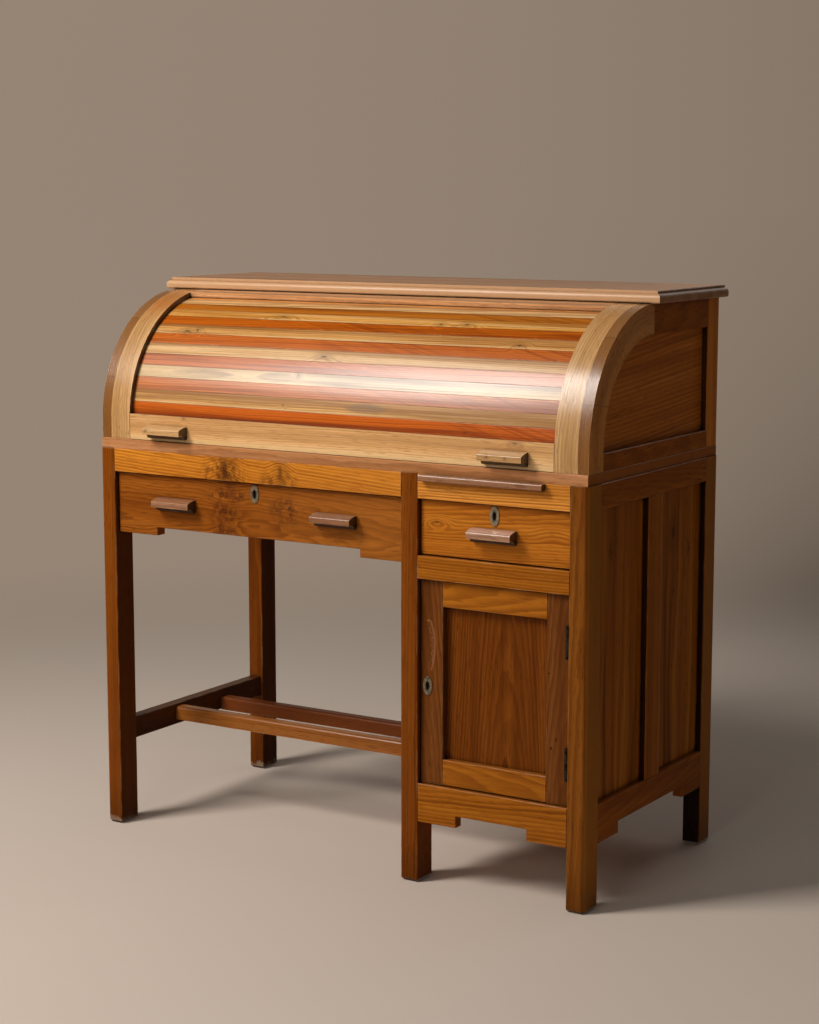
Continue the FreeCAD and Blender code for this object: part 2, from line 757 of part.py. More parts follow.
def upper_back():
    """Level boards that close the back of the case between the posts."""
    step = (case_top - board_top) / back_board_count
    boards = []
    for index in range(back_board_count):
        low = board_top + index * step
        board = block(Box((-gable_inside, gable_inside), back_board_y, (low, low + step)))
        boards.append(eased(board, along(0)))
    return {"upper_back_boards": boards}


def top_board():
    """Top with a stepped, rounded nosing along the front and the two ends."""
    box = Box((left - top_overhang, right + top_overhang), (axis_y - top_reach, back),
              (case_top, case_top + top_thickness - top_step))
    slab = block(box)
    nosed = [edge for edge in slab.Edges if on_plane(2, box.z[1])(edge) and not on_plane(1, back)(edge)]
    slab = slab.makeFillet(top_nose_round, nosed)
    under = [edge for edge in slab.Edges if on_plane(2, case_top)(edge) and not on_plane(1, back)(edge)]
    slab = slab.makeFillet(top_under_round, under)
    step = Box((box.x[0] + top_step_inset, box.x[1] - top_step_inset), (box.y[0] + top_step_inset, back),
               (box.z[1], box.z[1] + top_step))
    raised = eased(block(step), on_plane(2, step.z[1]))
    return {"top_board": [slab.fuse(raised).removeSplitter()]}


def pigeonholes():
    """Nest of open bays with a thin back, standing on the board behind the writing space."""
    tier = (nest_height - 2 * nest_board_thickness) / 2
    shelves = [board_top + tier, board_top + 2 * tier + nest_board_thickness]
    bay_y = (nest_y[0], nest_y[1] - nest_back_thickness)
    nest = [Box((-nest_half, nest_half), (bay_y[1], nest_y[1]), (board_top, nest_top))]
    for low in shelves:
        nest.append(Box((-nest_half, nest_half), bay_y, (low, low + nest_board_thickness)))
    pitch = (2 * nest_half - nest_board_thickness) / nest_bays
    for low in (board_top, shelves[0] + nest_board_thickness):
        for index in range(nest_bays + 1):
            x_low = -nest_half + index * pitch
            nest.append(Box((x_low, x_low + nest_board_thickness), bay_y, (low, low + tier)))
    return {"pigeonholes": [block(board) for board in nest]}


# Fall

def fall_staves():
    """Coopered staves of alternate light and dark wood."""
    staves = []
    for index in range(stave_count):
        low = first_stave_angle + index * stave_angle
        face = ring_sector(fall_inner, fall_outer, low, low + stave_angle)
        staves.append(prism("x", face, (-fall_half, fall_half)))
    return {"fall_dark_staves": staves[0::2], "fall_light_staves": staves[1::2]}


def fall_bottom_rail():
    """Bottom rail of the fall, flush with the bands on the outside."""
    low = board_top + fall_seat_gap
    root = arch_point(arch_radius - fall_rail_thickness, first_stave_angle)
    mid = arch_point(arch_radius, first_stave_angle / 2)
    face = outline("x", (case_front, low),
                   [arch_point(arch_radius, 0)],
                   [mid, arch_point(arch_radius, first_stave_angle)],
                   [root],
                   [(root[0], low)],
                   [(case_front, low)])
    half = band_inside - fall_band_gap
    pulls = pair(pull(fall_pull_inset - band_inside, case_front, board_top + fall_pull_lift))
    return {"fall_bottom_rail": [prism("x", face, (-half, half))], "fall_pulls": pulls}


def spoke(angle):
    """Arm from the hub to the rib at an angle."""
    bar = block(Box(rib_x, (-(fall_inner - rib_depth / 2), 0), (-spoke_width / 2, spoke_width / 2)))
    bar.rotate(Vector(0, 0, 0), Vector(1, 0, 0), -angle)
    bar.translate(Vector(0, axis_y, axis_z))
    return bar


def fall_ribs():
    """Curved end ribs of the fall with their arms and hubs."""
    outer = fall_inner - rib_seat_gap
    ring = prism("x", ring_sector(fall_inner - rib_depth, outer, first_stave_angle, fall_end_angle), rib_x)
    hub_end = Vector(rib_x[0], axis_y, axis_z)
    hub = Part.makeCylinder(hub_radius, rib_thickness, hub_end, Vector(1, 0, 0))
    margin = math.degrees(spoke_width / 2 / fall_inner)
    arms = [spoke(first_stave_angle + margin), spoke(fall_end_angle - margin)]
    bore = Part.makeCylinder(pivot_radius + pivot_play, rib_thickness, hub_end, Vector(1, 0, 0))
    rib = ring.fuse([hub] + arms).removeSplitter()
    return {"fall_ribs": pair(rib.cut(bore))}


def fall_pivots():
    """Plates on the gables' inner faces with the pins that the fall turns on."""
    half = pivot_plate_size / 2
    box = Box((-gable_inside, -gable_inside + pivot_plate_thickness), (axis_y - half, axis_y + half),
              (axis_z - half, axis_z + half))
    plate = rounded(block(box), pivot_plate_round, along(0))
    pin_length = rib_x[1] + pivot_end - box.x[0]
    pin = Part.makeCylinder(pivot_radius, pin_length, Vector(box.x[0], axis_y, axis_z), Vector(1, 0, 0))
    return {"fall_pivots": pair(plate.fuse(pin).removeSplitter())}


def desk():
    """Every node of the desk, by name, as a list of solids."""
    nodes = legs()
    corner_posts = [nodes[name][0] for name in pedestal_legs]
    nodes.update(front_rails())
    side_rail = Box((left, left + frame_thickness), between_legs_y, (knee_lug_bottom, base_height))
    nodes["left_side_rail"] = [eased(block(side_rail), along(1))]
    for name, face_x, inward in (("right", right, -1), ("inner", middle_x[0], 1)):
        rails, muntin, panels = pedestal_side(face_x, inward)
        nodes[f"{name}_side_rails"] = rails
        nodes[f"{name}_side_muntin"] = muntin
        nodes[f"{name}_side_panels"] = panels
    nodes.update(back_frame())
    nodes["pedestal_floor"] = pedestal_floor(corner_posts)
    for group in (stretchers, runners, writing_board, gables, head_rail, upper_back, top_board, pigeonholes,
                  fall_pivots, hinges, fall_staves, fall_bottom_rail, fall_ribs, knee_drawer,
                  pedestal_drawer, writing_slide, door):
        nodes.update(group())
    return cut_legs(nodes)


def cut_legs(nodes):
    """Cuts the legs' grooves for the pedestal's panels and the mortise for the door's bolt."""
    panels = side_panels(right, -1) + side_panels(middle_x[0], 1) + [pedestal_back_box()]
    bolt = bolt_box("left", door_z[0] + door_lock_height, -door_x[0], door_y[1], bolt_throw)
    cuts = [block(grown(panel, groove_play)) for panel in panels] + [block(grown(bolt, bolt_play))]
    for name in pedestal_legs:
        nodes[name] = [post.cut(cuts) for post in nodes[name]]
    return nodes


os.makedirs("parts", exist_ok=True)
for node, solids in desk().items():
    Part.makeCompound(solids).exportStep(f"parts/{node}.step")
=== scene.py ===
import bmesh
import bpy
import json
import math
from mathutils import Matrix, Vector


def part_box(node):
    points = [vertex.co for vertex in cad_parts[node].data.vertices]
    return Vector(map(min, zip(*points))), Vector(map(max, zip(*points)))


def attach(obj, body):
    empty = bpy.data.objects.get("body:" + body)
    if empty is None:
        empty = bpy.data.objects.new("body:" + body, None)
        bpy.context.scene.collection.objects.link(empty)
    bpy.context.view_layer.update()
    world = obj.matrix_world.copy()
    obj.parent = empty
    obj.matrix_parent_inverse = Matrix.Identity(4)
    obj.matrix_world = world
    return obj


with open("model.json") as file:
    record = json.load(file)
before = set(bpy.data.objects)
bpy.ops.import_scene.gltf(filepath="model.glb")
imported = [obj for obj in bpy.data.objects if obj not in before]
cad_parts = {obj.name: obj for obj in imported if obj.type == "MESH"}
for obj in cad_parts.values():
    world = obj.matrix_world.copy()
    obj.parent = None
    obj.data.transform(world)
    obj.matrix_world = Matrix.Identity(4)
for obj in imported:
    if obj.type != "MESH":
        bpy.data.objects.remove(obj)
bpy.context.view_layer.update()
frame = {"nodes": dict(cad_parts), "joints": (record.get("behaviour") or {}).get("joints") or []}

# Camera, in metres and degrees in the desk's own frame
camera_place = (2.247, -3.556, 1.288)
camera_azimuth = 32.09
camera_elevation = 8.63
camera_lens = 75.97
camera_sensor = 36.0

# Lamps: place, aim, width, height and the level that a square-on white face renders at where the lamp aims
lamps = {
    "key_softbox": ((-1.50, -2.25, 3.03), (0.05, -0.20, 0.80), 1.0, 1.7, 1.02),
    "front_fill": ((0.30, -3.40, 1.60), (0.0, -0.20, 0.60), 1.6, 1.2, 0.17),
    "back_fill": ((0.40, 2.40, 2.60), (0.0, 0.20, 0.50), 2.4, 1.6, 0.10),
}
lamp_colour = (1.0, 0.965, 0.92)
ambient_level = 0.07

# Floor and backdrop: the backdrop is brightest the way that the key lamp shines, and dark the other way
floor_radius = 90.0
floor_segments = 96
floor_fade = (1.2, 3.4)
floor_mottle = 0.06
floor_roughness = 0.75
bright_way = (-0.85, 0.53, 0.0)
backdrop_turn = (0.40, 1.00)
ceiling_turn = (0.25, 0.60)

# Fall's axis and radius, from its joint and the arch bands; staves and the stiles' scarf joints in degrees
fall_joint = next(joint for joint in frame["joints"] if joint["name"] == "fall_turn")
axis_y, axis_z = fall_joint["pos_m"][1:]
arch_radius = axis_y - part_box("arch_bands")[0].y
degrees_per_metre = math.degrees(1 / arch_radius)
stave_count = 14
first_stave_angle = 3.6
fall_end_angle = 87.6
stave_pitch = (fall_end_angle - first_stave_angle) / stave_count
stave_width = math.radians(stave_pitch) * arch_radius
scarf_angles = (20.0, 52.0)

# Locks: middle of the key plate, and columns and rows of the case's screws; pins' reach and dark keyhole
locks = {
    "knee_drawer": (-0.174, 0.7025, ((-0.194, -0.154), (0.6915, 0.7175))),
    "pedestal_drawer": (0.354, 0.7025, ((0.334, 0.374), (0.6915, 0.7175))),
    "door": (0.2145, 0.3765, ((0.2045, 0.2305), (0.3565, 0.3965))),
}
plate_pin_reach = 0.0145
keyhole_patina = (0.0046, 1.0, 0.0092)

# Hinges, pivots, nail and pulls, in metres
hinge_lows = (0.2395, 0.4605)
hinge_screw_rises = (0.010, 0.030, 0.050)
hinge_screw_inset = 0.009
leaf_thickness = 0.0012
pivot_plate = 0.0015
pivot_screw_inset = 0.008
nail_across = -0.205
nail_height = 0.696
# Height of the pulls' finger cove, which takes painted shadow, and its fade
pull_cove = 0.008
pull_cove_fade = 0.001

# Domed head of a fastener: shares of its radius and height from the rim to the crown
head_dome = ((1.0, 0.0), (0.97, 0.45), (0.80, 0.80), (0.45, 1.0))
head_steps = 10

# Slot of a head: its width and its floor's radius and height as shares, and the turn of each next one
slot_width = 0.24
slot_floor_radius = 0.96
slot_floor_height = 0.3
first_turn = 0.4
next_turn = 1.1

# Radius and height of each kind of head, in metres
plate_pin = (0.0014, 0.0007)
lock_screw = (0.0024, 0.0010)
hinge_screw = (0.0026, 0.00012)
pivot_screw = (0.0028, 0.00015)
nail_head = (0.0016, 0.0008)

# Varnish over the wood: specular level and weight of the clear coat
bare = (0.20, 0.0)
satin = (0.12, 0.10)
waxed = (0.30, 0.20)
polished = (0.40, 0.34)
coat_roughness = 0.27

# Growth rings: how far they wander, ripple and swell round a knot, in metres; the staves' rings per metre
ring_bend = 0.022
ring_ripple = 0.005
knot_swell = 0.016
stave_rings = 230.0

# Steps from one patch of wood to the next: of each board, of a pair's second board, and of each stave
patch_steps = (3.7, 1.3, 0.9)
pair_step = (5.3, 5.3, 5.3)
stave_step = 2.71

# Noise scales along the grain, across it and through the board, per metre
bend_scale = (1.3, 7.0, 7.0)
ripple_scale = (9.0, 60.0, 60.0)
fibre_scale = (3.0, 130.0, 130.0)
pore_scale = (34.0, 560.0, 560.0)
gloss_scale = (3.0, 9.0, 9.0)

# Reach of the wear on edges and of the grime and painted shade in corners, in metres
wear_reach = 0.0022
grime_and_shade_reach = 0.016

# Heart of the tree seen from a board's middle: sideways, below the face, and its lean along the board
quarter_cut = (0.26, 0.10, 0.02)
rift_cut = (0.10, 0.12, 0.04)
flat_cut = (0.012, 0.045, 0.06)
gable_cut = (0.20, 0.08, 0.05)
side_cut = (0.16, 0.06, 0.03)
door_cut = (0.03, 0.09, 0.05)
stave_cut = (0.5, 0.14, 0.02)
leg_cut = (0.14, 0.16, 0.012)
next_leg_cut = 0.05

# Share of the middle colour that light wood and the dark ring lines have
light_shares = (1.22, 1.32, 1.62)
deep_shares = (0.50, 0.41, 0.34)


def tone(red, green, blue):
    """Colour given as it looks on a screen, in the values that the shaders take."""
    shares = [value / 255 for value in (red, green, blue)]
    linear = [((share + 0.055) / 1.055) ** 2.4 if share > 0.04045 else share / 12.92 for share in shares]
    return (*linear, 1.0)


def scaled(colour, shares):
    """Colour with each of its parts scaled."""
    return (*[min(part * share, 0.9) for part, share in zip(colour, shares)], 1.0)


# Middle colours of the woods, and colours of marks, metals, floor and backdrop
golden = tone(201, 123, 34)
pale_gold = tone(208, 132, 48)
reddish = tone(144, 78, 18)
honey = tone(187, 110, 27)
amber = tone(164, 95, 18)
leg_brown = tone(124, 63, 8)
worn_leg = tone(136, 71, 11)
corner_brown = tone(126, 70, 14)
panel_brown = tone(116, 59, 8)
stile_brown = tone(113, 62, 20)
side_brown = tone(170, 94, 11)
rail_brown = tone(160, 85, 12)
gable_brown = tone(202, 115, 34)
arch_brown = tone(208, 130, 46)
post_brown = tone(220, 132, 42)
arch_edge = tone(92, 62, 34)
peach = tone(200, 154, 98)
crown_brown = tone(188, 106, 34)
straw = tone(226, 172, 110)
tan = tone(232, 172, 116)
edge_brown = tone(184, 125, 78)
top_brown = tone(180, 128, 86)
pull_brown = tone(152, 105, 72)
# Lighter copy of the pull colour for the pedestal drawer's pulls: painted light
lit_pull_brown = tone(176, 132, 102)
raw_wood = tone(186, 138, 88)
foot_brown = tone(150, 88, 32)
rear_foot_brown = tone(114, 59, 25)
stretcher_brown = tone(72, 35, 12)
stave_tones = [
    tone(204, 98, 11), tone(228, 176, 108), tone(200, 114, 44), tone(188, 156, 114), tone(196, 110, 50),
    tone(216, 164, 104), tone(198, 102, 26), tone(226, 166, 92), tone(194, 96, 11), tone(240, 168, 74),
    tone(200, 116, 26), tone(248, 192, 126), tone(240, 160, 82), tone(226, 160, 98),
]
stave_deep = tone(166, 144, 120)
knot_brown = tone(62, 30, 12)
burl_red = tone(84, 38, 16)
# Pale tan for worn edges, and for painted light and highlight
wear_and_highlight_tan = tone(206, 160, 116)
# Near-black brown for grime and dirt, and for painted shade
grime_and_shade_brown = tone(26, 12, 5)
# Dark brown for seams and joints, and for painted shade
seam_and_shade_brown = tone(58, 26, 10)
pale_sap = tone(226, 190, 136)
# Gold for pale streaks in the wood, and for painted light on the legs' right flanks
streak_and_flank_light_gold = tone(204, 130, 38)
# Gold for the painted light at the right end of the kneehole boards
right_end_light_gold = tone(232, 158, 74)
grey_stain = tone(132, 104, 78)
pale_scuff = tone(166, 146, 122)
scar_tan = tone(172, 112, 76)
heart_red = tone(132, 70, 46)
clean_brass = tone(206, 184, 150)
dull_brass = tone(128, 112, 92)
clean_steel = tone(84, 74, 66)
dull_steel = tone(34, 28, 24)
backdrop_colour = tone(150, 133, 117)
backdrop_shade = tone(62, 55, 48)
ceiling_shade = tone(34, 30, 26)
floor_colour = tone(213, 197, 183)


class Web:
    """Short calls that add a material's nodes and link them."""

    def __init__(self, tree):
        self.tree = tree

    def add(self, kind, *values, out=0, named=None, **settings):
        """Adds a node, sets or links its inputs by order and by name, and returns one output."""
        node = self.tree.nodes.new("ShaderNode" + kind)
        for key, value in settings.items():
            setattr(node, key, value)
        for socket, value in zip(node.inputs, values):
            self.feed(socket, value)
        for key, value in (named or {}).items():
            self.feed(node.inputs[key], value)
        return node.outputs[out]

    def feed(self, socket, value):
        """Links a socket to another one, or sets its value."""
        if isinstance(value, bpy.types.NodeSocket):
            self.tree.links.new(value, socket)
        elif value is not None:
            socket.default_value = value

    def math(self, operation, *values):
        return self.add("Math", *values, operation=operation)

    def product(self, first, *others):
        """Product of the given shares."""
        for other in others:
            first = self.math("MULTIPLY", first, other)
        return first

    def line(self, value, slope, start):
        """Value times slope, plus start."""
        return self.math("MULTIPLY_ADD", value, slope, start)

    def step(self, value, low, high):
        """0 below low, 1 above high and smooth between; low over high turns it round."""
        return self.add("MapRange", value, low, high, 0.0, 1.0, interpolation_type="SMOOTHSTEP")

    def stretch(self, vector, scale, shift=(0.0, 0.0, 0.0)):
        return self.add("VectorMath", vector, scale, shift, operation="MULTIPLY_ADD")

    def noise(self, vector, detail=2.0, roughness=0.5, out=0):
        return self.add("TexNoise", out=out, named={"Vector": vector, "Scale": 1.0, "Detail": detail,
                                                    "Roughness": roughness})

    def mix(self, share, first, second, mode="MIX"):
        return self.add("MixRGB", share, first, second, blend_type=mode)

    def tint(self, colour, shade, *shares):
        """Colour moved towards a shade by the product of the shares."""
        return self.mix(self.product(*shares), colour, shade)

    def split(self, vector):
        node = self.tree.nodes.new("ShaderNodeSeparateXYZ")
        self.feed(node.inputs[0], vector)
        return list(node.outputs)

    def join(self, *values):
        return self.add("CombineXYZ", *values)

    def length(self, vector):
        return self.add("VectorMath", vector, operation="LENGTH", out="Value")

    def reach(self, place, centre, radii):
        """Distance from a centre, as a share of the radii."""
        offset = self.add("VectorMath", place, centre, operation="SUBTRACT")
        return self.length(self.add("VectorMath", offset, radii, operation="DIVIDE"))

    def near(self, value, centre, half):
        """1 at the centre, fading to 0 at half a width from it."""
        return self.step(self.math("ABSOLUTE", self.math("SUBTRACT", value, centre)), half, half * 0.4)

    def stairs(self, value, stops):
        """Colours that change sharply at the given (place, colour) stops."""
        colour = self.add("ValToRGB", value)
        band = colour.node.color_ramp
        band.interpolation = "CONSTANT"
        while len(band.elements) < len(stops):
            band.elements.new(1.0)
        for element, (place, shade) in zip(band.elements, stops):
            element.position = place
            element.color = shade
        return colour


def new_material(name):
    """Material with its web of nodes and its shader."""
    material = bpy.data.materials.new(name)
    material.use_nodes = True
    return material, Web(material.node_tree), material.node_tree.nodes["Principled BSDF"]


def facing(web, axis):
    """How far the surface faces along x, y or z, from -1 to 1."""
    return web.split(web.add("NewGeometry", out="True Normal"))["xyz".index(axis)]


def side_faces(web, low, high):
    """Step over how far the surface faces to either side of the desk."""
    return web.step(web.math("ABSOLUTE", facing(web, "x")), low, high)


# Board axes: distances along the grain, across it on the face, and through the board

def straight(order, pair=None):
    """Board with its axes in the given order, such as xzy; the two boards of a pair mirror each other."""
    def build(web, place, node):
        low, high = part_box(node)
        middle = (low + high) / 2
        axes = web.split(web.add("VectorMath", place, tuple(middle), operation="SUBTRACT"))
        beyond = None
        if pair:
            index = "xyz".index(pair)
            beyond = web.math("GREATER_THAN", axes[index], 0.0)
            reach = (high - middle)[index] * (1.0 if pair == order[2] else 0.5)
            axes[index] = web.math("SUBTRACT", web.math("ABSOLUTE", axes[index]), reach)
        return [axes["xyz".index(letter)] for letter in order], beyond
    return build


def bend_axes(web, place):
    """Length round the fall's axis, distance sideways and radius."""
    x, y, z = web.split(place)
    out = web.math("SUBTRACT", axis_y, y)
    up = web.math("SUBTRACT", z, axis_z)
    along = web.product(web.math("ARCTAN2", up, out), arch_radius)
    radius = web.length(web.join(out, up, 0.0))
    return along, x, radius


def arched(face):
    """Pair of boards bent round the fall's axis, with their face outwards or to the side."""
    def build(web, place, node):
        along, x, radius = bend_axes(web, place)
        beyond = web.math("GREATER_THAN", x, 0.0)
        side = web.math("SUBTRACT", web.math("ABSOLUTE", x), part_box(node)[1].x)
        depth = web.math("SUBTRACT", radius, arch_radius)
        axes = [along, side, depth] if face == "outward" else [along, depth, side]
        return axes, beyond
    return build


def inner_boards(web, place, node):
    """Boards of a drawer or a nest: those that face sideways have their grain along the depth."""
    x, y, z = web.split(place)
    sideways = side_faces(web, 0.4, 0.6)
    along = web.add("Mix", named={0: sideways, 2: x, 3: y})
    across = web.add("Mix", named={0: sideways, 2: y, 3: z})
    return [along, across, z], sideways


def patch_of_wood(web, axes, beyond, seed):
    """Board axes moved to a patch of wood of their own."""
    wood = web.stretch(web.join(*axes), (1.0, 1.0, 1.0), [seed * step for step in patch_steps])
    if beyond is None:
        return wood
    return web.add("VectorMath", beyond, pair_step, wood, operation="MULTIPLY_ADD")


def knot_marks(web, place, knots):
    """Share of knot, and swelling of the rings round the knots; each knot is (centre, radii, strength)."""
    dark, swell = 0.0, 0.0
    for centre, radii, strength in knots:
        distance = web.reach(place, centre, radii)
        halo = web.product(web.step(distance, 2.6, 0.7), 0.35 * strength)
        core = web.product(web.step(distance, 0.9, 0.2), strength)
        dark = web.math("MAXIMUM", dark, web.math("MAXIMUM", core, halo))
        swell = web.math("ADD", swell, web.product(web.step(distance, 4.5, 0.0), strength * knot_swell))
    return dark, swell


def ring_lines(web, axes, wood, heart, rings, swell, curl=1.0):
    """Growth rings where they meet the face: 0 in early wood, up to 1 on the dark line that ends a year."""
    along, across, through = axes
    offset, depth, lean = heart
    bend = web.noise(web.stretch(wood, bend_scale), detail=1.0)
    ripple = web.noise(web.stretch(wood, ripple_scale), detail=2.0)
    side = web.line(bend, ring_bend * curl, web.math("SUBTRACT", across, offset))
    down = web.line(along, lean, web.math("ADD", through, depth))
    radius = web.math("ADD", web.length(web.join(side, down, 0.0)), swell)
    count = web.product(web.line(ripple, ring_ripple * curl, radius), rings)
    year = web.math("FRACT", count)
    strength = web.add("TexWhiteNoise", named={"W": web.math("FLOOR", count)}, noise_dimensions="1D")
    line = web.product(web.step(year, 0.10, 0.82), web.step(year, 1.0, 0.90))
    return web.product(line, web.line(strength, 0.65, 0.35))


def burl_marks(web, place, burls):
    """Shares of small dark eyes in patches of burl, each (centre, radii), and of smoky wood round them."""
    warp = web.noise(web.stretch(place, (60.0, 60.0, 60.0)), detail=2.0, out="Color")
    bent = web.add("VectorMath", warp, (0.018, 0.018, 0.018), place, operation="MULTIPLY_ADD")
    cells = web.add("TexVoronoi", named={"Vector": bent, "Scale": 78.0}).node.outputs
    chosen = web.step(web.split(cells["Color"])[0], 0.30, 0.45)
    ring = web.product(web.near(cells["Distance"], 0.46, 0.16), 0.6)
    eye = web.product(web.math("MAXIMUM", web.step(cells["Distance"], 0.34, 0.12), ring), chosen)
    patch = 0.0
    for centre, radii in burls:
        patch = web.math("MAXIMUM", patch, web.step(web.reach(bent, centre, radii), 1.25, 0.35))
    smoke = web.noise(web.stretch(place, (110.0, 110.0, 70.0)), detail=3.0)
    return web.product(eye, patch), web.product(web.step(smoke, 0.40, 0.66), patch)


def edge_wear(web, place, amount):
    """Share of worn wood along sharp edges, broken up along their length."""
    soft = web.add("Bevel", wear_reach, samples=4)
    sharp = web.add("NewGeometry", out="Normal")
    bend = web.add("VectorMath", soft, sharp, operation="DOT_PRODUCT", out="Value")
    broken = web.noise(web.stretch(place, (24.0, 24.0, 24.0)), detail=3.0)
    return web.product(web.step(bend, 0.995, 0.86), web.step(broken, 0.44, 0.62), amount)


def grime_and_shade(web, amount):
    """Share of darkening in corners and joints: partly dust and old polish, partly painted shade."""
    open_share = web.add("AmbientOcclusion", out="AO", named={"Distance": grime_and_shade_reach}, samples=4)
    return web.product(web.step(open_share, 0.78, 0.28), amount)


def varnish(web, shader, wood, relief, colour, gloss, shine):
    """Varnish over the wood: uneven gloss, open pores and a thin clear coat."""
    patch = web.noise(web.stretch(wood, gloss_scale), detail=3.0)
    rough = web.line(relief, 0.08, web.line(patch, 0.16, gloss))
    bump = web.add("Bump", named={"Strength": 0.35, "Distance": 0.0006, "Height": relief})
    web.feed(shader.inputs["Base Color"], colour)
    web.feed(shader.inputs["Roughness"], rough)
    web.feed(shader.inputs["Normal"], bump)
    shader.inputs["Specular IOR Level"].default_value = shine[0]
    shader.inputs["Coat Weight"].default_value = shine[1]
    shader.inputs["Coat Roughness"].default_value = coat_roughness


def fibres(web, wood):
    """Long fine streaks of the wood and its short dark pores."""
    streak = web.noise(web.stretch(wood, fibre_scale), detail=4.0, roughness=0.62)
    pores = web.step(web.noise(web.stretch(wood, pore_scale), detail=1.0), 0.57, 0.72)
    return streak, pores


def teak(node, middle, lay, heart=quarter_cut, rings=250.0, lines=0.6, slope=0.0, curl=1.0, bands=30.0,
         knots=(), burls=(), wear=0.5, soil=0.8, gloss=0.20, shine=satin, extra=None):
    """Varnished teak: ring figure, light and dark bands, pores, knots, worn edges, and grime with painted
    shade in corners.
    """
    material, web, shader = new_material(node)
    place = web.add("TexCoord", out="Object")
    axes, beyond = lay(web, place, node)
    axes[1] = web.line(axes[0], slope, axes[1])
    wood = patch_of_wood(web, axes, beyond, list(frame["nodes"]).index(node))
    dark, swell = knot_marks(web, place, knots)
    year = ring_lines(web, axes, wood, heart, rings, swell, curl)
    streak, pores = fibres(web, wood)
    band = web.noise(web.stretch(wood, (0.8, bands, bands)), detail=3.0)
    light, deep = scaled(middle, light_shares), scaled(middle, deep_shares)
    colour = web.mix(web.step(band, 0.32, 0.52), light, middle)
    colour = web.tint(colour, deep, web.step(band, 0.50, 0.70), 0.50)
    colour = web.tint(colour, light, web.step(streak, 0.52, 0.28), 0.55)
    colour = web.tint(colour, deep, year, lines)
    colour = web.tint(colour, deep, pores, 0.62)
    if knots:
        colour = web.tint(colour, knot_brown, dark, 0.85)
    if burls:
        eyes, smoke = burl_marks(web, place, burls)
        colour = web.tint(colour, burl_red, smoke, 0.60)
        colour = web.tint(colour, knot_brown, eyes, 0.90)
    if extra:
        colour = extra(web, place, colour)
    colour = web.mix(edge_wear(web, place, wear), colour, wear_and_highlight_tan)
    # Grime and painted shade in corners and joints
    colour = web.mix(grime_and_shade(web, soil), colour, grime_and_shade_brown)
    relief = web.line(pores, -0.5, streak)
    varnish(web, shader, wood, relief, colour, gloss, shine)
    return material


# Knots of the staves: distance along the desk, height counted in staves from the lowest, and size
stave_knots = [
    (-0.396, 7.30, 0.010), (-0.372, 7.45, 0.006), (0.355, 7.30, 0.007), (-0.194, 9.46, 0.013),
    (0.166, 9.30, 0.007), (0.221, 9.40, 0.009), (-0.049, 5.45, 0.011), (-0.115, 1.40, 0.002),
    (0.287, 0.30, 0.002), (-0.092, 3.80, 0.004),
]
stave_knot_stretch = 1.3
stave_knot_rise = 0.005
stave_knot_strength = 0.85

# Stains of the staves: number of the stave, middle along the desk, and half the length
stave_stains = [(3, -0.318, 0.085), (3, -0.140, 0.055), (1, 0.072, 0.052)]

# Stave with a pale end: its number, and where along the desk the sapwood starts and is full
sap_stave = 3.0
sap_stave_span = (0.02, -0.16)


def stave_axes(web, place):
    """Distance along the desk, height in staves, the stave's number, the share across it, and depth."""
    along_bend, x, radius = bend_axes(web, place)
    angle = web.product(along_bend, degrees_per_metre)
    share = web.math("DIVIDE", web.math("SUBTRACT", angle, first_stave_angle), stave_pitch)
    depth = web.math("SUBTRACT", radius, arch_radius)
    return x, share, web.math("FLOOR", share), web.math("FRACT", share), depth


def stave_marks(web, x, share):
    """Knots of the staves, on the fall laid flat."""
    flat = web.join(x, web.product(share, stave_width), 0.0)
    laid = []
    for at, number, size in stave_knots:
        radii = (stave_knot_stretch * size, min(size, stave_knot_rise), 1.0)
        laid.append(((at, number * stave_width, 0.0), radii, stave_knot_strength))
    return knot_marks(web, flat, laid)


def stain_marks(web, x, number, within):
    """Grey lens-shaped stains on the pale staves."""
    stain = 0.0
    rise = web.math("ABSOLUTE", web.line(within, 2.0, -1.0))
    for stave, centre, half in stave_stains:
        run = web.math("DIVIDE", web.math("SUBTRACT", x, centre), half)
        lens = web.math("SUBTRACT", web.math("SUBTRACT", 1.0, web.product(run, run)), rise)
        here = web.math("COMPARE", number, float(stave), 0.1)
        stain = web.math("MAXIMUM", stain, web.product(web.step(lens, -0.10, 0.45), here))
    return stain


def flame_figure(web, x, share, number):
    """Slanting dark figure of the red staves, strongest towards the right."""
    rise = web.product(share, stave_width)
    slant = web.line(rise, 2.2, x)
    cross = web.line(x, 0.30, rise)
    lines = web.join(web.product(slant, 7.0), web.product(cross, 150.0), number)
    figure = web.noise(lines, detail=3.0)
    here = web.join(web.product(x, 2.6), web.product(number, 3.1), 0.0)
    zone = web.line(x, 0.45, web.noise(here, detail=1.0))
    return web.product(web.step(figure, 0.40, 0.66), web.step(zone, 0.50, 0.70))


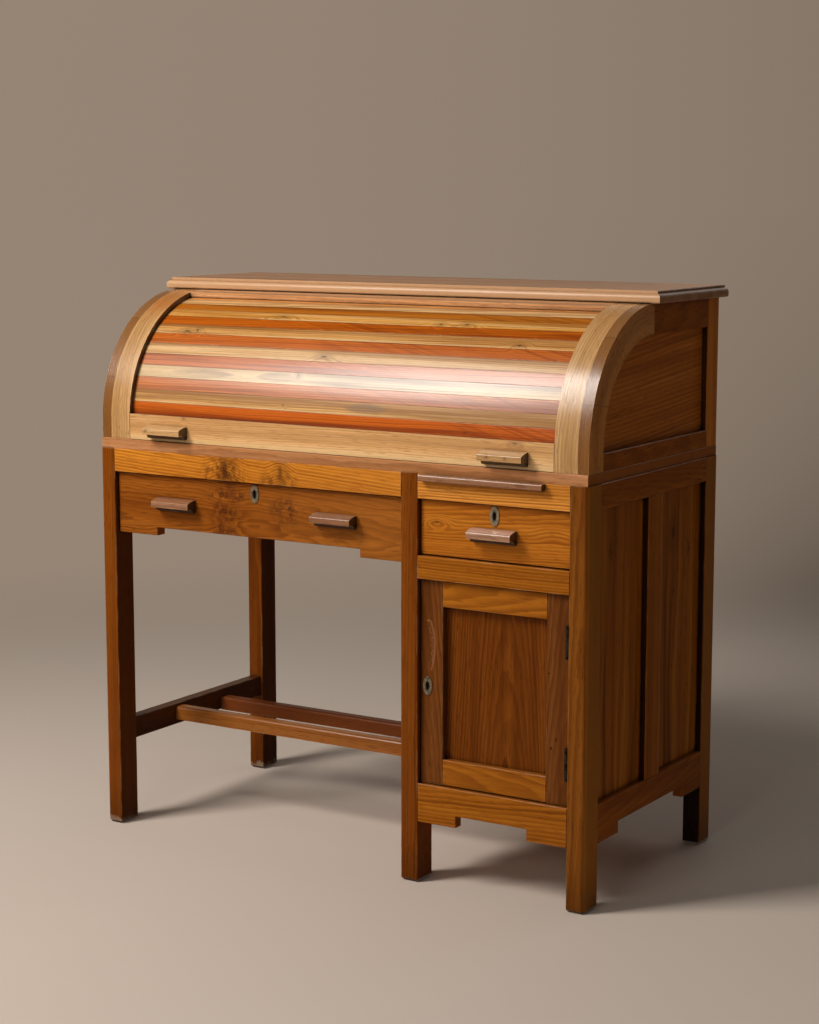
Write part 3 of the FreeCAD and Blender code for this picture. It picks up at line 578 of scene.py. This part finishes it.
def stave_colour(web, base, x, share, number, within, wood, streak, year, pale):
    """Colour of a stave's wood before its pores and seams."""
    deep = web.mix(1.0, base, stave_deep, mode="MULTIPLY")
    band = web.noise(web.stretch(wood, (1.4, 60.0, 60.0)), detail=3.0)
    colour = web.tint(base, deep, web.step(band, 0.48, 0.66), 0.8)
    colour = web.tint(colour, deep, web.step(streak, 0.54, 0.76), 0.7)
    colour = web.tint(colour, deep, year, 0.9 if pale else 0.6)
    if not pale:
        return web.tint(colour, deep, flame_figure(web, x, share, number), 0.6)
    colour = web.tint(colour, pale_sap, web.step(band, 0.50, 0.30), 0.5)
    colour = web.tint(colour, pale_sap, web.step(streak, 0.52, 0.28), 0.3)
    edge = web.line(web.noise(web.stretch(wood, (1.6, 1.0, 1.0)), detail=2.0), 1.1, within)
    colour = web.tint(colour, pale_sap, web.step(edge, 0.62, 0.52), 0.6)
    colour = web.tint(colour, deep, web.step(edge, 1.14, 1.26), 0.5)
    sap_end = web.product(web.math("COMPARE", number, sap_stave, 0.1), web.step(x, *sap_stave_span))
    colour = web.tint(colour, pale_sap, sap_end, 0.55)
    cloudy = web.line(web.step(streak, 0.36, 0.62), 0.50, 0.20)
    return web.tint(colour, grey_stain, stain_marks(web, x, number, within), cloudy)


def staves(node, pale):
    """Coopered staves: each has its own wood and colour, with a fine dark seam between neighbours."""
    material, web, shader = new_material(node)
    place = web.add("TexCoord", out="Object")
    x, share, number, within, depth = stave_axes(web, place)
    jump = web.product(number, stave_step)
    across = web.product(share, stave_width)
    wood = web.join(web.math("ADD", x, jump), web.math("ADD", across, jump), depth)
    heart_side = web.line(web.math("FRACT", web.product(number, 0.618)), 0.2, across)
    stops = [(index / stave_count, shade) for index, shade in enumerate(stave_tones)]
    base = web.stairs(web.math("DIVIDE", web.math("ADD", number, 0.5), stave_count), stops)
    dark, swell = stave_marks(web, x, share)
    year = ring_lines(web, [x, heart_side, depth], wood, stave_cut, stave_rings, swell)
    streak, pores = fibres(web, wood)
    colour = stave_colour(web, base, x, share, number, within, wood, streak, year, pale)
    colour = web.tint(colour, web.mix(1.0, base, stave_deep, mode="MULTIPLY"), pores, 0.3)
    colour = web.tint(colour, knot_brown, dark, 0.9)
    seam = web.math("MAXIMUM", web.step(within, 0.030, 0.010), web.step(within, 0.970, 0.990))
    gappy = web.step(web.noise(web.stretch(wood, (5.0, 5.0, 5.0)), detail=2.0), 0.36, 0.58)
    colour = web.tint(colour, seam_and_shade_brown, seam, web.line(gappy, 0.5, 0.25))
    # Grime and painted shade in corners and joints
    colour = web.mix(grime_and_shade(web, 0.8), colour, grime_and_shade_brown)
    relief = web.line(seam, -1.5, streak)
    varnish(web, shader, wood, relief, colour, gloss=0.18, shine=polished)
    return material


def metal(name, clean, tarnish, rough, seed):
    """Old metal: tarnish in patches, tarnish with painted shade in corners, brighter on worn edges, with fine
    scratches.
    """
    material, web, shader = new_material(name)
    place = web.add("TexCoord", out="Object")
    moved = web.stretch(place, (1.0, 1.0, 1.0), (seed, seed, seed))
    blotch = web.noise(web.stretch(moved, (160.0, 160.0, 160.0)), detail=4.0, roughness=0.6)
    scratch = web.noise(web.stretch(moved, (900.0, 900.0, 120.0)), detail=2.0)
    colour = web.mix(web.step(blotch, 0.38, 0.66), clean, tarnish)
    colour = web.mix(edge_wear(web, place, 0.6), colour, clean)
    # Tarnish, grime and painted shade in corners
    colour = web.mix(grime_and_shade(web, 0.7), colour, grime_and_shade_brown)
    for across, up, _ in locks.values():
        hole = web.step(web.reach(place, (across, 0.0, up), keyhole_patina), 1.15, 0.85)
        colour = web.tint(colour, grime_and_shade_brown, hole, 0.9)
    rough_share = web.line(scratch, 0.10, web.line(blotch, 0.30, rough))
    bump = web.add("Bump", named={"Strength": 0.25, "Distance": 0.0003, "Height": scratch})
    web.feed(shader.inputs["Base Color"], colour)
    web.feed(shader.inputs["Roughness"], rough_share)
    web.feed(shader.inputs["Normal"], bump)
    shader.inputs["Metallic"].default_value = 0.9
    return material


# Nail holes in the door's right stile: distance along the desk, height, and half their width and height
nail_holes = [(0.4665, 0.430, 0.0018, 0.0020), (0.482, 0.311, 0.0016, 0.0042), (0.472, 0.294, 0.0020, 0.0038)]

# Rubbed mark on the door: its middle, half its height, its bow, and its line, greyed wood and hook
scar_across = 0.2295
scar_up = 0.452
scar_half = 0.048
scar_bow = 0.009
scar_line = (0.0024, 0.0008)
scar_grey = ((0.001, -0.002), (-0.011, -0.006))
scar_hook = ((0.2165, -0.251, 0.4985), (0.006, 0.1, 0.0020))

# Marks of age, and of painted light and highlight: where each starts and where it is full, in metres
foot_darkening_span = (0.120, 0.015)
scuff_span = (0.036, 0.026)
crown_span = (0.22, 0.33)
right_end_light_span = (-0.25, 0.12)
edge_highlight_span = (0.038, 0.046)
hem_span = (0.798, 0.794)
heart_span_front = (-0.049, -0.044)
heart_span_rear = (-0.030, -0.036)

# Strength of the arch bands' redder crown at the right, and how much more the left one has
crown_right = 0.20
crown_left_more = 0.40


def door_marks(web, place, colour):
    """Stiles of the door: nail holes, and a rubbed mark over the lock."""
    for across, up, half_width, half_height in nail_holes:
        hole = web.step(web.reach(place, (across, 0.0, up), (half_width, 1.0, half_height)), 1.2, 0.7)
        colour = web.tint(colour, grime_and_shade_brown, hole, 0.85)
    return door_scar(web, place, colour)


def door_scar(web, place, colour):
    """Rubbed mark over the door's lock: a pale hooked line with greyed wood beside it."""
    x, _, z = web.split(place)
    rise = web.math("DIVIDE", web.math("SUBTRACT", z, scar_up), scar_half)
    bow = web.line(web.product(rise, rise), -scar_bow, scar_across)
    off = web.math("SUBTRACT", x, bow)
    inside = web.step(web.math("ABSOLUTE", rise), 1.0, 0.92)
    line = web.product(web.step(web.math("ABSOLUTE", off), *scar_line), inside)
    hook = web.step(web.reach(place, *scar_hook), 1.1, 0.7)
    grey = web.product(web.step(off, *scar_grey[0]), web.step(off, *scar_grey[1]), inside)
    speckle = web.noise(web.stretch(place, (300.0, 300.0, 160.0)), detail=3.0)
    colour = web.tint(colour, grey_stain, grey, web.step(speckle, 0.42, 0.80), 0.8)
    return web.tint(colour, scar_tan, web.math("MAXIMUM", line, hook), 0.4)


def darker_foot(web, place, colour):
    """Darker colour towards the bottom of a leg."""
    z = web.split(place)[2]
    ragged = web.noise(web.stretch(place, (60.0, 60.0, 60.0)), detail=3.0)
    height = web.line(ragged, 0.030, z)
    return web.tint(colour, grime_and_shade_brown, web.step(height, *foot_darkening_span), 0.35)


def scuff_and_kneehole_shade(web, place, colour):
    """Left leg: a pale scuff at its foot, and painted shade on its face towards the kneehole."""
    ragged = web.noise(web.stretch(place, (90.0, 90.0, 90.0)), detail=4.0)
    height = web.line(ragged, 0.040, web.split(place)[2])
    colour = darker_foot(web, place, colour)
    colour = web.tint(colour, pale_scuff, web.step(height, *scuff_span), 0.50)
    # Painted shade on the face towards the kneehole
    return web.mix(web.step(facing(web, "x"), 0.4, 0.8), colour, web.mix(0.57, colour, grime_and_shade_brown))


def end_grain_and_shade(web, place, colour):
    """End grain of a bar, darkened: partly its own darker end grain, partly painted shade."""
    return web.tint(colour, grime_and_shade_brown, side_faces(web, 0.6, 0.9), 0.85)


def bar_pull(node):
    """Marks of a bar pull: darker end grain with painted shade, and painted shadow in the finger cove."""
    cove_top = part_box(node)[0].z + pull_cove

    def marks(web, place, colour):
        # Painted shadow in the finger cove under the pull's nose
        cove_shadow = web.step(web.split(place)[2], cove_top, cove_top - pull_cove_fade)
        return end_grain_and_shade(web, place, web.tint(colour, grime_and_shade_brown, cove_shadow, 0.80))
    return marks


def crown_tint(web, place, colour):
    """Redder wood towards the crown of the arch bands, and painted shade on their side faces."""
    along = bend_axes(web, place)[0]
    ragged = web.noise(web.stretch(place, (9.0, 9.0, 9.0)), detail=2.0)
    reach = web.line(ragged, 0.08, along)
    left = web.math("LESS_THAN", web.split(place)[0], 0.0)
    strength = web.line(left, crown_left_more, crown_right)
    colour = web.tint(colour, crown_brown, web.step(reach, *crown_span), strength)
    # Painted shade on the side faces beside the staves
    return web.tint(colour, seam_and_shade_brown, side_faces(web, 0.5, 0.9), 0.85)


def painted_recess_shade(web, place, colour):
    """Painted shade on the narrow walls of a recess that face the front."""
    return web.tint(colour, grime_and_shade_brown, web.step(facing(web, "y"), -0.80, -0.95), 0.92)


def recess_leg(web, place, colour):
    """Rear leg at the right: painted light on its right flank, and painted shade on its recess wall."""
    return painted_recess_shade(web, place, painted_flank_light(web, place, colour))


def painted_flank_light(web, place, colour):
    """Right leg: painted light on its right side, over a foot that darkens towards the bottom."""
    # Painted light: the face that looks right is made lighter
    flank = web.step(facing(web, "x"), 0.6, 0.95)
    return darker_foot(web, place, web.tint(colour, streak_and_flank_light_gold, flank, 0.42))


def side_streaks(web, place, colour):
    """Pale and dark streaks that run up a panel."""
    x, y, z = web.split(place)
    slow = web.join(web.product(y, 8.0), web.product(z, 2.2), 0.0)
    across = web.line(web.noise(slow, detail=2.0), 0.07, y)
    fine = web.join(web.product(across, 52.0), web.product(z, 0.9), x)
    streak = web.noise(fine, detail=3.0)
    colour = web.tint(colour, streak_and_flank_light_gold, web.step(streak, 0.50, 0.68), 0.45)
    return web.tint(colour, grime_and_shade_brown, web.step(streak, 0.47, 0.30), 0.55)


def nosing_light(web, place, colour):
    """Painted light: lighter colour on the top's faces that look to the front."""
    return web.tint(colour, wear_and_highlight_tan, web.step(facing(web, "y"), -0.3, -0.7), 0.8)


def board_ends(web, place, colour):
    """Browner wood on the ends of the writing board, as on the side rails."""
    return web.tint(colour, rail_brown, side_faces(web, 0.6, 0.9), 0.85)


def right_end_light(web, place, colour):
    """Painted light: lighter colour towards the right end of a board over the kneehole."""
    x = web.split(place)[0]
    return web.tint(colour, right_end_light_gold, web.step(x, *right_end_light_span), 0.10)


def edge_highlight_and_recess_shade(web, place, colour):
    """Painted highlight as a pale strip along the muntin's rear edge, and painted shade on its front wall."""
    _, y, z = web.split(place)
    wander = web.noise(web.join(web.product(z, 6.0), 0.0, 0.0), detail=2.0)
    edge = web.line(wander, 0.016, y)
    # Painted highlight along the rear arris
    colour = web.tint(colour, wear_and_highlight_tan, web.step(edge, *edge_highlight_span), 0.22)
    return painted_recess_shade(web, place, colour)


def rail_hem(web, place, colour):
    """Cream sapwood along the fall's lower edge."""
    x, _, z = web.split(place)
    wander = web.noise(web.join(web.product(x, 3.0), 0.0, 0.0), detail=2.0)
    level = web.line(wander, -0.008, z)
    return web.tint(colour, pale_sap, web.step(level, *hem_span), 0.55)


def head_band(web, place, colour):
    """Red heartwood along the head rail's front edge."""
    x, y, _ = web.split(place)
    wander = web.noise(web.join(web.product(x, 4.0), 0.0, 0.0), detail=3.0)
    edge = web.line(wander, 0.012, y)
    band = web.product(web.step(edge, *heart_span_rear), web.step(edge, *heart_span_front))
    return web.tint(colour, heart_red, band, 0.6)


def stile_joints(web, place, colour):
    """Arched stiles: a darker outer edge, and a fine line and a change of tone at each scarf joint."""
    along, _, radius = bend_axes(web, place)
    angle = web.product(along, degrees_per_metre)
    slanted = web.line(web.math("SUBTRACT", radius, arch_radius), 60.0, angle)
    colour = web.tint(colour, arch_edge, side_faces(web, 0.6, 0.2), 0.75)
    for joint in scarf_angles:
        past = web.math("SUBTRACT", slanted, joint)
        colour = web.tint(colour, wear_and_highlight_tan, web.step(past, -0.2, 0.2), 0.07)
        colour = web.tint(colour, seam_and_shade_brown, web.near(past, 0.0, 0.30), 0.45)
    return colour


def dress(node, material):
    """Gives a CAD node its finish."""
    slots = frame["nodes"][node].data.materials
    slots.clear()
    slots.append(material)


def board(node, middle, axes, **details):
    """Dresses a node as teak of its own."""
    dress(node, teak(node, middle, axes, **details))


def dress_legs():
    """Legs: the grain stands, and each leg is cut from another part of the tree."""
    corner_knots = [((0.546, -0.235, 0.118), (0.004, 0.006, 0.007), 0.9),
                    ((0.546, -0.228, 0.530), (0.004, 0.006, 0.010), 0.7)]
    tones = {"leg_front_left": worn_leg, "leg_front_right": corner_brown}
    marks = {"leg_rear_right": recess_leg, "leg_front_left": scuff_and_kneehole_shade, "leg_rear_left": scuff_and_kneehole_shade,
             "leg_front_right": painted_flank_light}
    for turn, node in enumerate(name for name in frame["nodes"] if name.startswith("leg_")):
        heart = (leg_cut[0] - next_leg_cut * turn, *leg_cut[1:])
        knots = corner_knots if node == "leg_front_right" else ()
        board(node, tones.get(node, leg_brown), straight("zxy"), heart=heart, lines=0.8, knots=knots,
              extra=marks.get(node, darker_foot))


def dress_base():
    """Rails and stretchers of the base, and the bare wood inside."""
    rail_burls = [((-0.232, -0.261, 0.746), (0.060, 0.05, 0.040)),
                  ((-0.100, -0.261, 0.740), (0.044, 0.05, 0.030))]
    smoky_cores = [((-0.238, -0.261, 0.742), (0.013, 0.05, 0.045), 0.95),
                   ((-0.107, -0.261, 0.748), (0.009, 0.05, 0.03), 0.85)]
    board("knee_front_rail", golden, straight("xzy"), rings=170.0, slope=0.07, lines=1.0, knots=smoky_cores,
          burls=rail_burls, extra=right_end_light)
    board("pedestal_front_rail", pale_gold, straight("xzy"), rings=180.0, lines=1.0)
    board("pedestal_middle_rail", amber, straight("xzy"), rings=190.0, lines=1.0, wear=0.9)
    board("pedestal_apron", amber, straight("xzy"), heart=rift_cut, rings=190.0, lines=1.0)
    board("back_rails", side_brown, straight("xzy"))
    board("pedestal_back_panel", side_brown, straight("zxy"), heart=flat_cut)
    board("left_stretcher", stretcher_brown, straight("yzx"))
    board("front_foot_rail", foot_brown, straight("xzy"), wear=0.8, gloss=0.14, shine=polished,
          knots=[((0.128, -0.071, 0.189), (0.007, 0.007, 0.006), 0.9)])
    board("rear_foot_rail", rear_foot_brown, straight("xzy"))
    inside = ("runners", "pedestal_floor", "knee_drawer_box", "pedestal_drawer_box", "pigeonholes",
              "writing_slide")
    for node in inside:
        board(node, raw_wood, inner_boards, heart=rift_cut, lines=0.4, wear=0.2, gloss=0.52, shine=bare)


def dress_sides():
    """Sides of the base: rails, muntins and panels."""
    panel_knots = [((0.534, -0.150, 0.640), (0.03, 0.006, 0.010), 0.9),
                   ((0.534, 0.110, 0.640), (0.03, 0.012, 0.026), 0.9),
                   ((0.534, 0.180, 0.600), (0.03, 0.005, 0.010), 0.9)]
    board("left_side_rail", side_brown, straight("yzx"), heart=flat_cut)
    for side in ("right", "inner"):
        board(f"{side}_side_rails", rail_brown, straight("yzx", "z"), heart=rift_cut)
        board(f"{side}_side_muntin", side_brown, straight("zyx"), extra=edge_highlight_and_recess_shade)
        board(f"{side}_side_panels", side_brown, straight("zyx", "y"), heart=side_cut, rings=190.0,
              lines=0.7, bands=48.0, knots=panel_knots if side == "right" else (), extra=side_streaks)


def dress_case():
    """Board, gables, back and top."""
    board("writing_board", edge_brown, straight("xyz"), wear=0.4, extra=board_ends)
    board("top_board", top_brown, straight("xyz"), heart=rift_cut, wear=0.7, gloss=0.26, shine=waxed,
          extra=nosing_light)
    board("gable_stiles", arch_brown, arched("sideways"), heart=rift_cut, lines=0.5, gloss=0.16,
          shine=polished, extra=stile_joints)
    # Gable posts: painted shade on their front-facing recess walls
    board("gable_posts", post_brown, straight("zyx", "x"), extra=painted_recess_shade)
    board("gable_rails", rail_brown, straight("yzx", "z"), heart=rift_cut, slope=0.03, wear=0.1)
    board("gable_panels", gable_brown, straight("yzx", "x"), heart=gable_cut, rings=130.0, lines=0.75,
          slope=-0.05, bands=40.0, soil=0.4)
    board("arch_bands", peach, arched("outward"), heart=rift_cut, lines=0.65, gloss=0.16, shine=polished,
          extra=crown_tint)
    board("head_rail", tan, straight("xyz"), lines=0.5, extra=head_band)
    board("upper_back_boards", side_brown, straight("xzy", "z"), heart=flat_cut)


def dress_fall():
    """Fall and its fittings."""
    rail_knots = [((0.396, -0.255, 0.836), (0.010, 0.02, 0.003), 0.8),
                  ((-0.340, -0.255, 0.838), (0.003, 0.02, 0.004), 0.7)]
    nail_spots = [((at, -0.281, 0.812), (0.0022, 0.03, 0.0024), 1.0) for at in (-0.415, 0.353, 0.390)]
    dress("fall_dark_staves", staves("fall_dark_staves", pale=False))
    dress("fall_light_staves", staves("fall_light_staves", pale=True))
    board("fall_bottom_rail", straw, straight("xzy"), lines=0.55, shine=polished, knots=rail_knots,
          extra=rail_hem)
    board("fall_ribs", raw_wood, arched("sideways"), heart=rift_cut, lines=0.4, gloss=0.5, shine=bare)
    board("fall_pulls", peach, straight("xyz", "x"), lines=0.4, shine=polished, knots=nail_spots,
          extra=bar_pull("fall_pulls"))


def dress_drawers():
    """Two drawers and the writing slide."""
    burls = [((-0.230, -0.251, 0.706), (0.060, 0.05, 0.018)), ((-0.236, -0.251, 0.670), (0.042, 0.05, 0.028)),
             ((-0.240, -0.251, 0.628), (0.034, 0.05, 0.024)), ((-0.094, -0.251, 0.680), (0.040, 0.05, 0.034))]
    smoke = [((-0.236, -0.251, 0.712), (0.020, 0.05, 0.010), 0.5),
             ((-0.232, -0.251, 0.662), (0.016, 0.05, 0.012), 0.5),
             ((-0.238, -0.251, 0.624), (0.014, 0.05, 0.012), 0.5)]
    drawer_knots = [((0.233, -0.251, 0.682), (0.010, 0.02, 0.004), 0.8),
                    ((0.470, -0.251, 0.680), (0.012, 0.02, 0.006), 0.3)]
    board("knee_drawer_front", reddish, straight("xzy"), heart=flat_cut, rings=150.0, lines=0.75, curl=3.5,
          bands=22.0, knots=smoke, burls=burls, extra=right_end_light)
    board("pedestal_drawer_front", honey, straight("xzy"), heart=rift_cut, lines=0.95, knots=drawer_knots)
    board("writing_slide_lip", pull_brown, straight("xzy"), lines=0.5, gloss=0.16, shine=polished,
          knots=[((0.418, -0.276, 0.765), (0.008, 0.01, 0.002), 0.9)], extra=end_grain_and_shade)
    board("knee_drawer_pulls", pull_brown, straight("xyz", "x"), lines=0.5, gloss=0.14, shine=polished,
          extra=bar_pull("knee_drawer_pulls"))
    # Painted light: the lighter copy of the pull colour
    board("pedestal_drawer_pulls", lit_pull_brown, straight("xyz"), lines=0.5, gloss=0.14, shine=polished,
          extra=bar_pull("pedestal_drawer_pulls"))


def dress_door():
    """Door's frame and panel."""
    board("door_stiles", stile_brown, straight("zxy", "x"), heart=rift_cut, lines=0.75, extra=door_marks)
    board("door_rails", amber, straight("xzy", "z"), heart=rift_cut, lines=0.95)
    board("door_panel", panel_brown, straight("zxy"), heart=door_cut, rings=240.0, lines=0.9, bands=50.0)


def dress_metal(brass, steel):
    """Locks, hinges and pivots."""
    for item in locks:
        dress(f"{item}_lock", brass)
        dress(f"{item}_bolt", brass)
    for node in ("hinge_frame_leaves", "hinge_door_leaves", "hinge_pins", "fall_pivots"):
        dress(node, steel)


# Small fasteners, which ride on the bodies that they hold

def loft(shape, loops):
    """Closed skin through loops of points."""
    rings = [[shape.verts.new(point) for point in loop] for loop in loops]
    for low, high in zip(rings, rings[1:]):
        for index, corner in enumerate(low):
            ahead = (index + 1) % len(low)
            shape.faces.new((corner, low[ahead], high[ahead], high[index]))
    shape.faces.new(rings[-1])
    shape.faces.new(rings[0][::-1])


def head_loops(radius, height, slot, side):
    """Loops of one half of a domed head, on one side of its slot."""
    angles = [math.pi * step / head_steps for step in range(head_steps + 1)]
    loops = []
    for share, lift in head_dome:
        ring = [(radius * share * math.cos(angle), radius * share * math.sin(angle)) for angle in angles]
        loops.append([(across, side * max(out, slot / 2), height * lift) for across, out in ring])
    return loops


def slot_floor(radius, height):
    """Loops of the disc that closes the bottom of a head's slot."""
    angles = [math.pi * step / head_steps for step in range(2 * head_steps)]
    reach = slot_floor_radius * radius
    disc = [(reach * math.cos(angle), reach * math.sin(angle)) for angle in angles]
    return [[(across, out, lift) for across, out in disc] for lift in (0.0, slot_floor_height * height)]


def add_object(name, data):
    """New object in the scene."""
    item = bpy.data.objects.new(name, data)
    bpy.context.scene.collection.objects.link(item)
    return item


def fasteners(name, spots, way, head, body, finish):
    """Slotted heads at spots of a face that looks the given way, as one piece."""
    radius, height = head
    shape = bmesh.new()
    stand = Vector(way).to_track_quat("Z", "Y").to_matrix().to_4x4()
    for index, spot in enumerate(spots):
        before = len(shape.verts)
        for side in (1, -1):
            loft(shape, head_loops(radius, height, slot_width * radius, side))
        loft(shape, slot_floor(radius, height))
        shape.verts.ensure_lookup_table()
        place = Matrix.Translation(spot) @ stand @ Matrix.Rotation(next_turn * index + first_turn, 4, "Z")
        bmesh.ops.transform(shape, matrix=place, verts=shape.verts[before:])
    bmesh.ops.recalc_face_normals(shape, faces=shape.faces)
    mesh = bpy.data.meshes.new(name)
    shape.to_mesh(mesh)
    shape.free()
    mesh.materials.append(finish)
    piece = add_object(name, mesh)
    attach(piece, body)


def fasten_locks(brass):
    """Two pins in each key plate and four screws in each lock's case."""
    for item, (across, up, corners) in locks.items():
        low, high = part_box(f"{item}_lock")
        pins = [(across, low.y, up + drop) for drop in (-plate_pin_reach, plate_pin_reach)]
        screws = [(x, high.y, z) for x in corners[0] for z in corners[1]]
        fasteners(f"{item}_plate_pins", pins, (0, -1, 0), plate_pin, item, brass)
        fasteners(f"{item}_lock_screws", screws, (0, 1, 0), lock_screw, item, brass)


def fasten_hinges(steel):
    """Three flush screws in each leaf of the hinges."""
    leaf_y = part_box("hinge_frame_leaves")[1].y - hinge_screw_inset
    heights = [low + rise for low in hinge_lows for rise in hinge_screw_rises]
    on_frame = [(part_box("leg_front_right")[0].x - leaf_thickness, leaf_y, z) for z in heights]
    on_door = [(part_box("door_stiles")[1].x, leaf_y, z) for z in heights]
    fasteners("hinge_frame_screws", on_frame, (-1, 0, 0), hinge_screw, "frame", steel)
    fasteners("hinge_door_screws", on_door, (1, 0, 0), hinge_screw, "door", steel)


def fasten_pivots(steel):
    """Four flush screws in each pivot plate."""
    low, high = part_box("fall_pivots")
    inset = pivot_screw_inset
    rows = [(y, z) for y in (low.y + inset, high.y - inset) for z in (low.z + inset, high.z - inset)]
    for name, face, way in (("left", low.x + pivot_plate, 1), ("right", high.x - pivot_plate, -1)):
        spots = [(face, y, z) for y, z in rows]
        fasteners(f"{name}_pivot_screws", spots, (way, 0, 0), pivot_screw, "frame", steel)


def add_fasteners(brass, steel):
    """Every small head, with the nail beside the knee drawer's key plate."""
    fasten_locks(brass)
    fasten_hinges(steel)
    fasten_pivots(steel)
    nail = [(nail_across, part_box("knee_drawer_front")[0].y, nail_height)]
    fasteners("knee_drawer_nail", nail, (0, -1, 0), nail_head, "knee_drawer", steel)


def make_camera():
    """Camera at the photograph's place and angle."""
    camera = add_object("camera", bpy.data.cameras.new("camera"))
    azimuth = math.radians(camera_azimuth)
    elevation = math.radians(camera_elevation)
    level = math.cos(elevation)
    back = Vector((math.sin(azimuth) * level, -math.cos(azimuth) * level, math.sin(elevation)))
    camera.location = camera_place
    camera.rotation_mode = "QUATERNION"
    camera.rotation_quaternion = (-back).to_track_quat("-Z", "Y")
    camera.data.lens = camera_lens
    camera.data.sensor_width = camera_sensor
    bpy.context.scene.camera = camera


def make_lamps():
    """Soft lamps aimed at the desk."""
    for name, (place, aim, width, height, level) in lamps.items():
        way = Vector(aim) - Vector(place)
        light = bpy.data.lights.new(name, "AREA")
        light.shape = "RECTANGLE"
        light.size = width
        light.size_y = height
        light.energy = level * math.pi ** 2 * way.length_squared
        light.color = lamp_colour
        lamp = add_object(name, light)
        lamp.location = place
        lamp.rotation_mode = "QUATERNION"
        lamp.rotation_quaternion = way.to_track_quat("-Z", "Y")
        lamp.visible_camera = False


def seen_share(web):
    """1 for the rays that show the background: from the camera, off gloss and through glass."""
    rays = web.add("LightPath").node.outputs
    glossy = web.math("MAXIMUM", rays["Is Glossy Ray"], rays["Is Transmission Ray"])
    return web.math("MAXIMUM", rays["Is Camera Ray"], glossy)


def backdrop_tone(web, way):
    """Backdrop's colour the given way from the desk, under a dark ceiling."""
    flat = web.add("VectorMath", web.stretch(way, (1.0, 1.0, 0.0)), operation="NORMALIZE")
    turn = web.add("VectorMath", flat, bright_way, operation="DOT_PRODUCT", out="Value")
    wall = web.mix(web.step(turn, *backdrop_turn), backdrop_shade, backdrop_colour)
    rise = web.split(web.add("VectorMath", way, operation="NORMALIZE"))[2]
    return web.mix(web.step(rise, *ceiling_turn), wall, ceiling_shade)


def make_world():
    """Even ambient light; the rays that show the background see the backdrop."""
    world = bpy.data.worlds.new("studio")
    bpy.context.scene.world = world
    world.use_nodes = True
    web = Web(world.node_tree)
    ambient = web.add("Background", lamp_colour + (1.0,), ambient_level)
    backdrop = web.add("Background", backdrop_tone(web, web.add("TexCoord", out="Generated")), 1.0)
    both = web.add("MixShader", seen_share(web), ambient, backdrop)
    web.feed(world.node_tree.nodes["World Output"].inputs["Surface"], both)


def make_floor():
    """Plain pale floor that fades into the backdrop far from the desk."""
    mesh = bpy.data.meshes.new("floor")
    shape = bmesh.new()
    bmesh.ops.create_circle(shape, cap_ends=True, segments=floor_segments, radius=floor_radius)
    shape.to_mesh(mesh)
    shape.free()
    floor = add_object("floor", mesh)
    material, web, shader = new_material("floor")
    place = web.add("TexCoord", out="Object")
    far = web.step(web.length(place), *floor_fade)
    mottle = web.noise(web.stretch(place, (1.5, 1.5, 1.5)), detail=2.0)
    shade = web.tint(floor_colour, backdrop_colour, mottle, floor_mottle)
    web.feed(shader.inputs["Base Color"], shade)
    shader.inputs["Roughness"].default_value = floor_roughness
    glow = web.add("Emission", backdrop_tone(web, place), 1.0)
    both = web.add("MixShader", web.product(far, seen_share(web)), shader.outputs[0], glow)
    web.feed(material.node_tree.nodes["Material Output"].inputs["Surface"], both)
    mesh.materials.append(material)
    floor.visible_glossy = False


dress_legs()
dress_base()
dress_sides()
dress_case()
dress_fall()
dress_drawers()
dress_door()
brass = metal("aged_brass", clean_brass, dull_brass, rough=0.26, seed=1.0)
steel = metal("dark_steel", clean_steel, dull_steel, rough=0.34, seed=2.0)
dress_metal(brass, steel)
add_fasteners(brass, steel)
make_camera()
make_lamps()
make_world()
make_floor()
bpy.context.scene.view_settings.view_transform = "Standard"
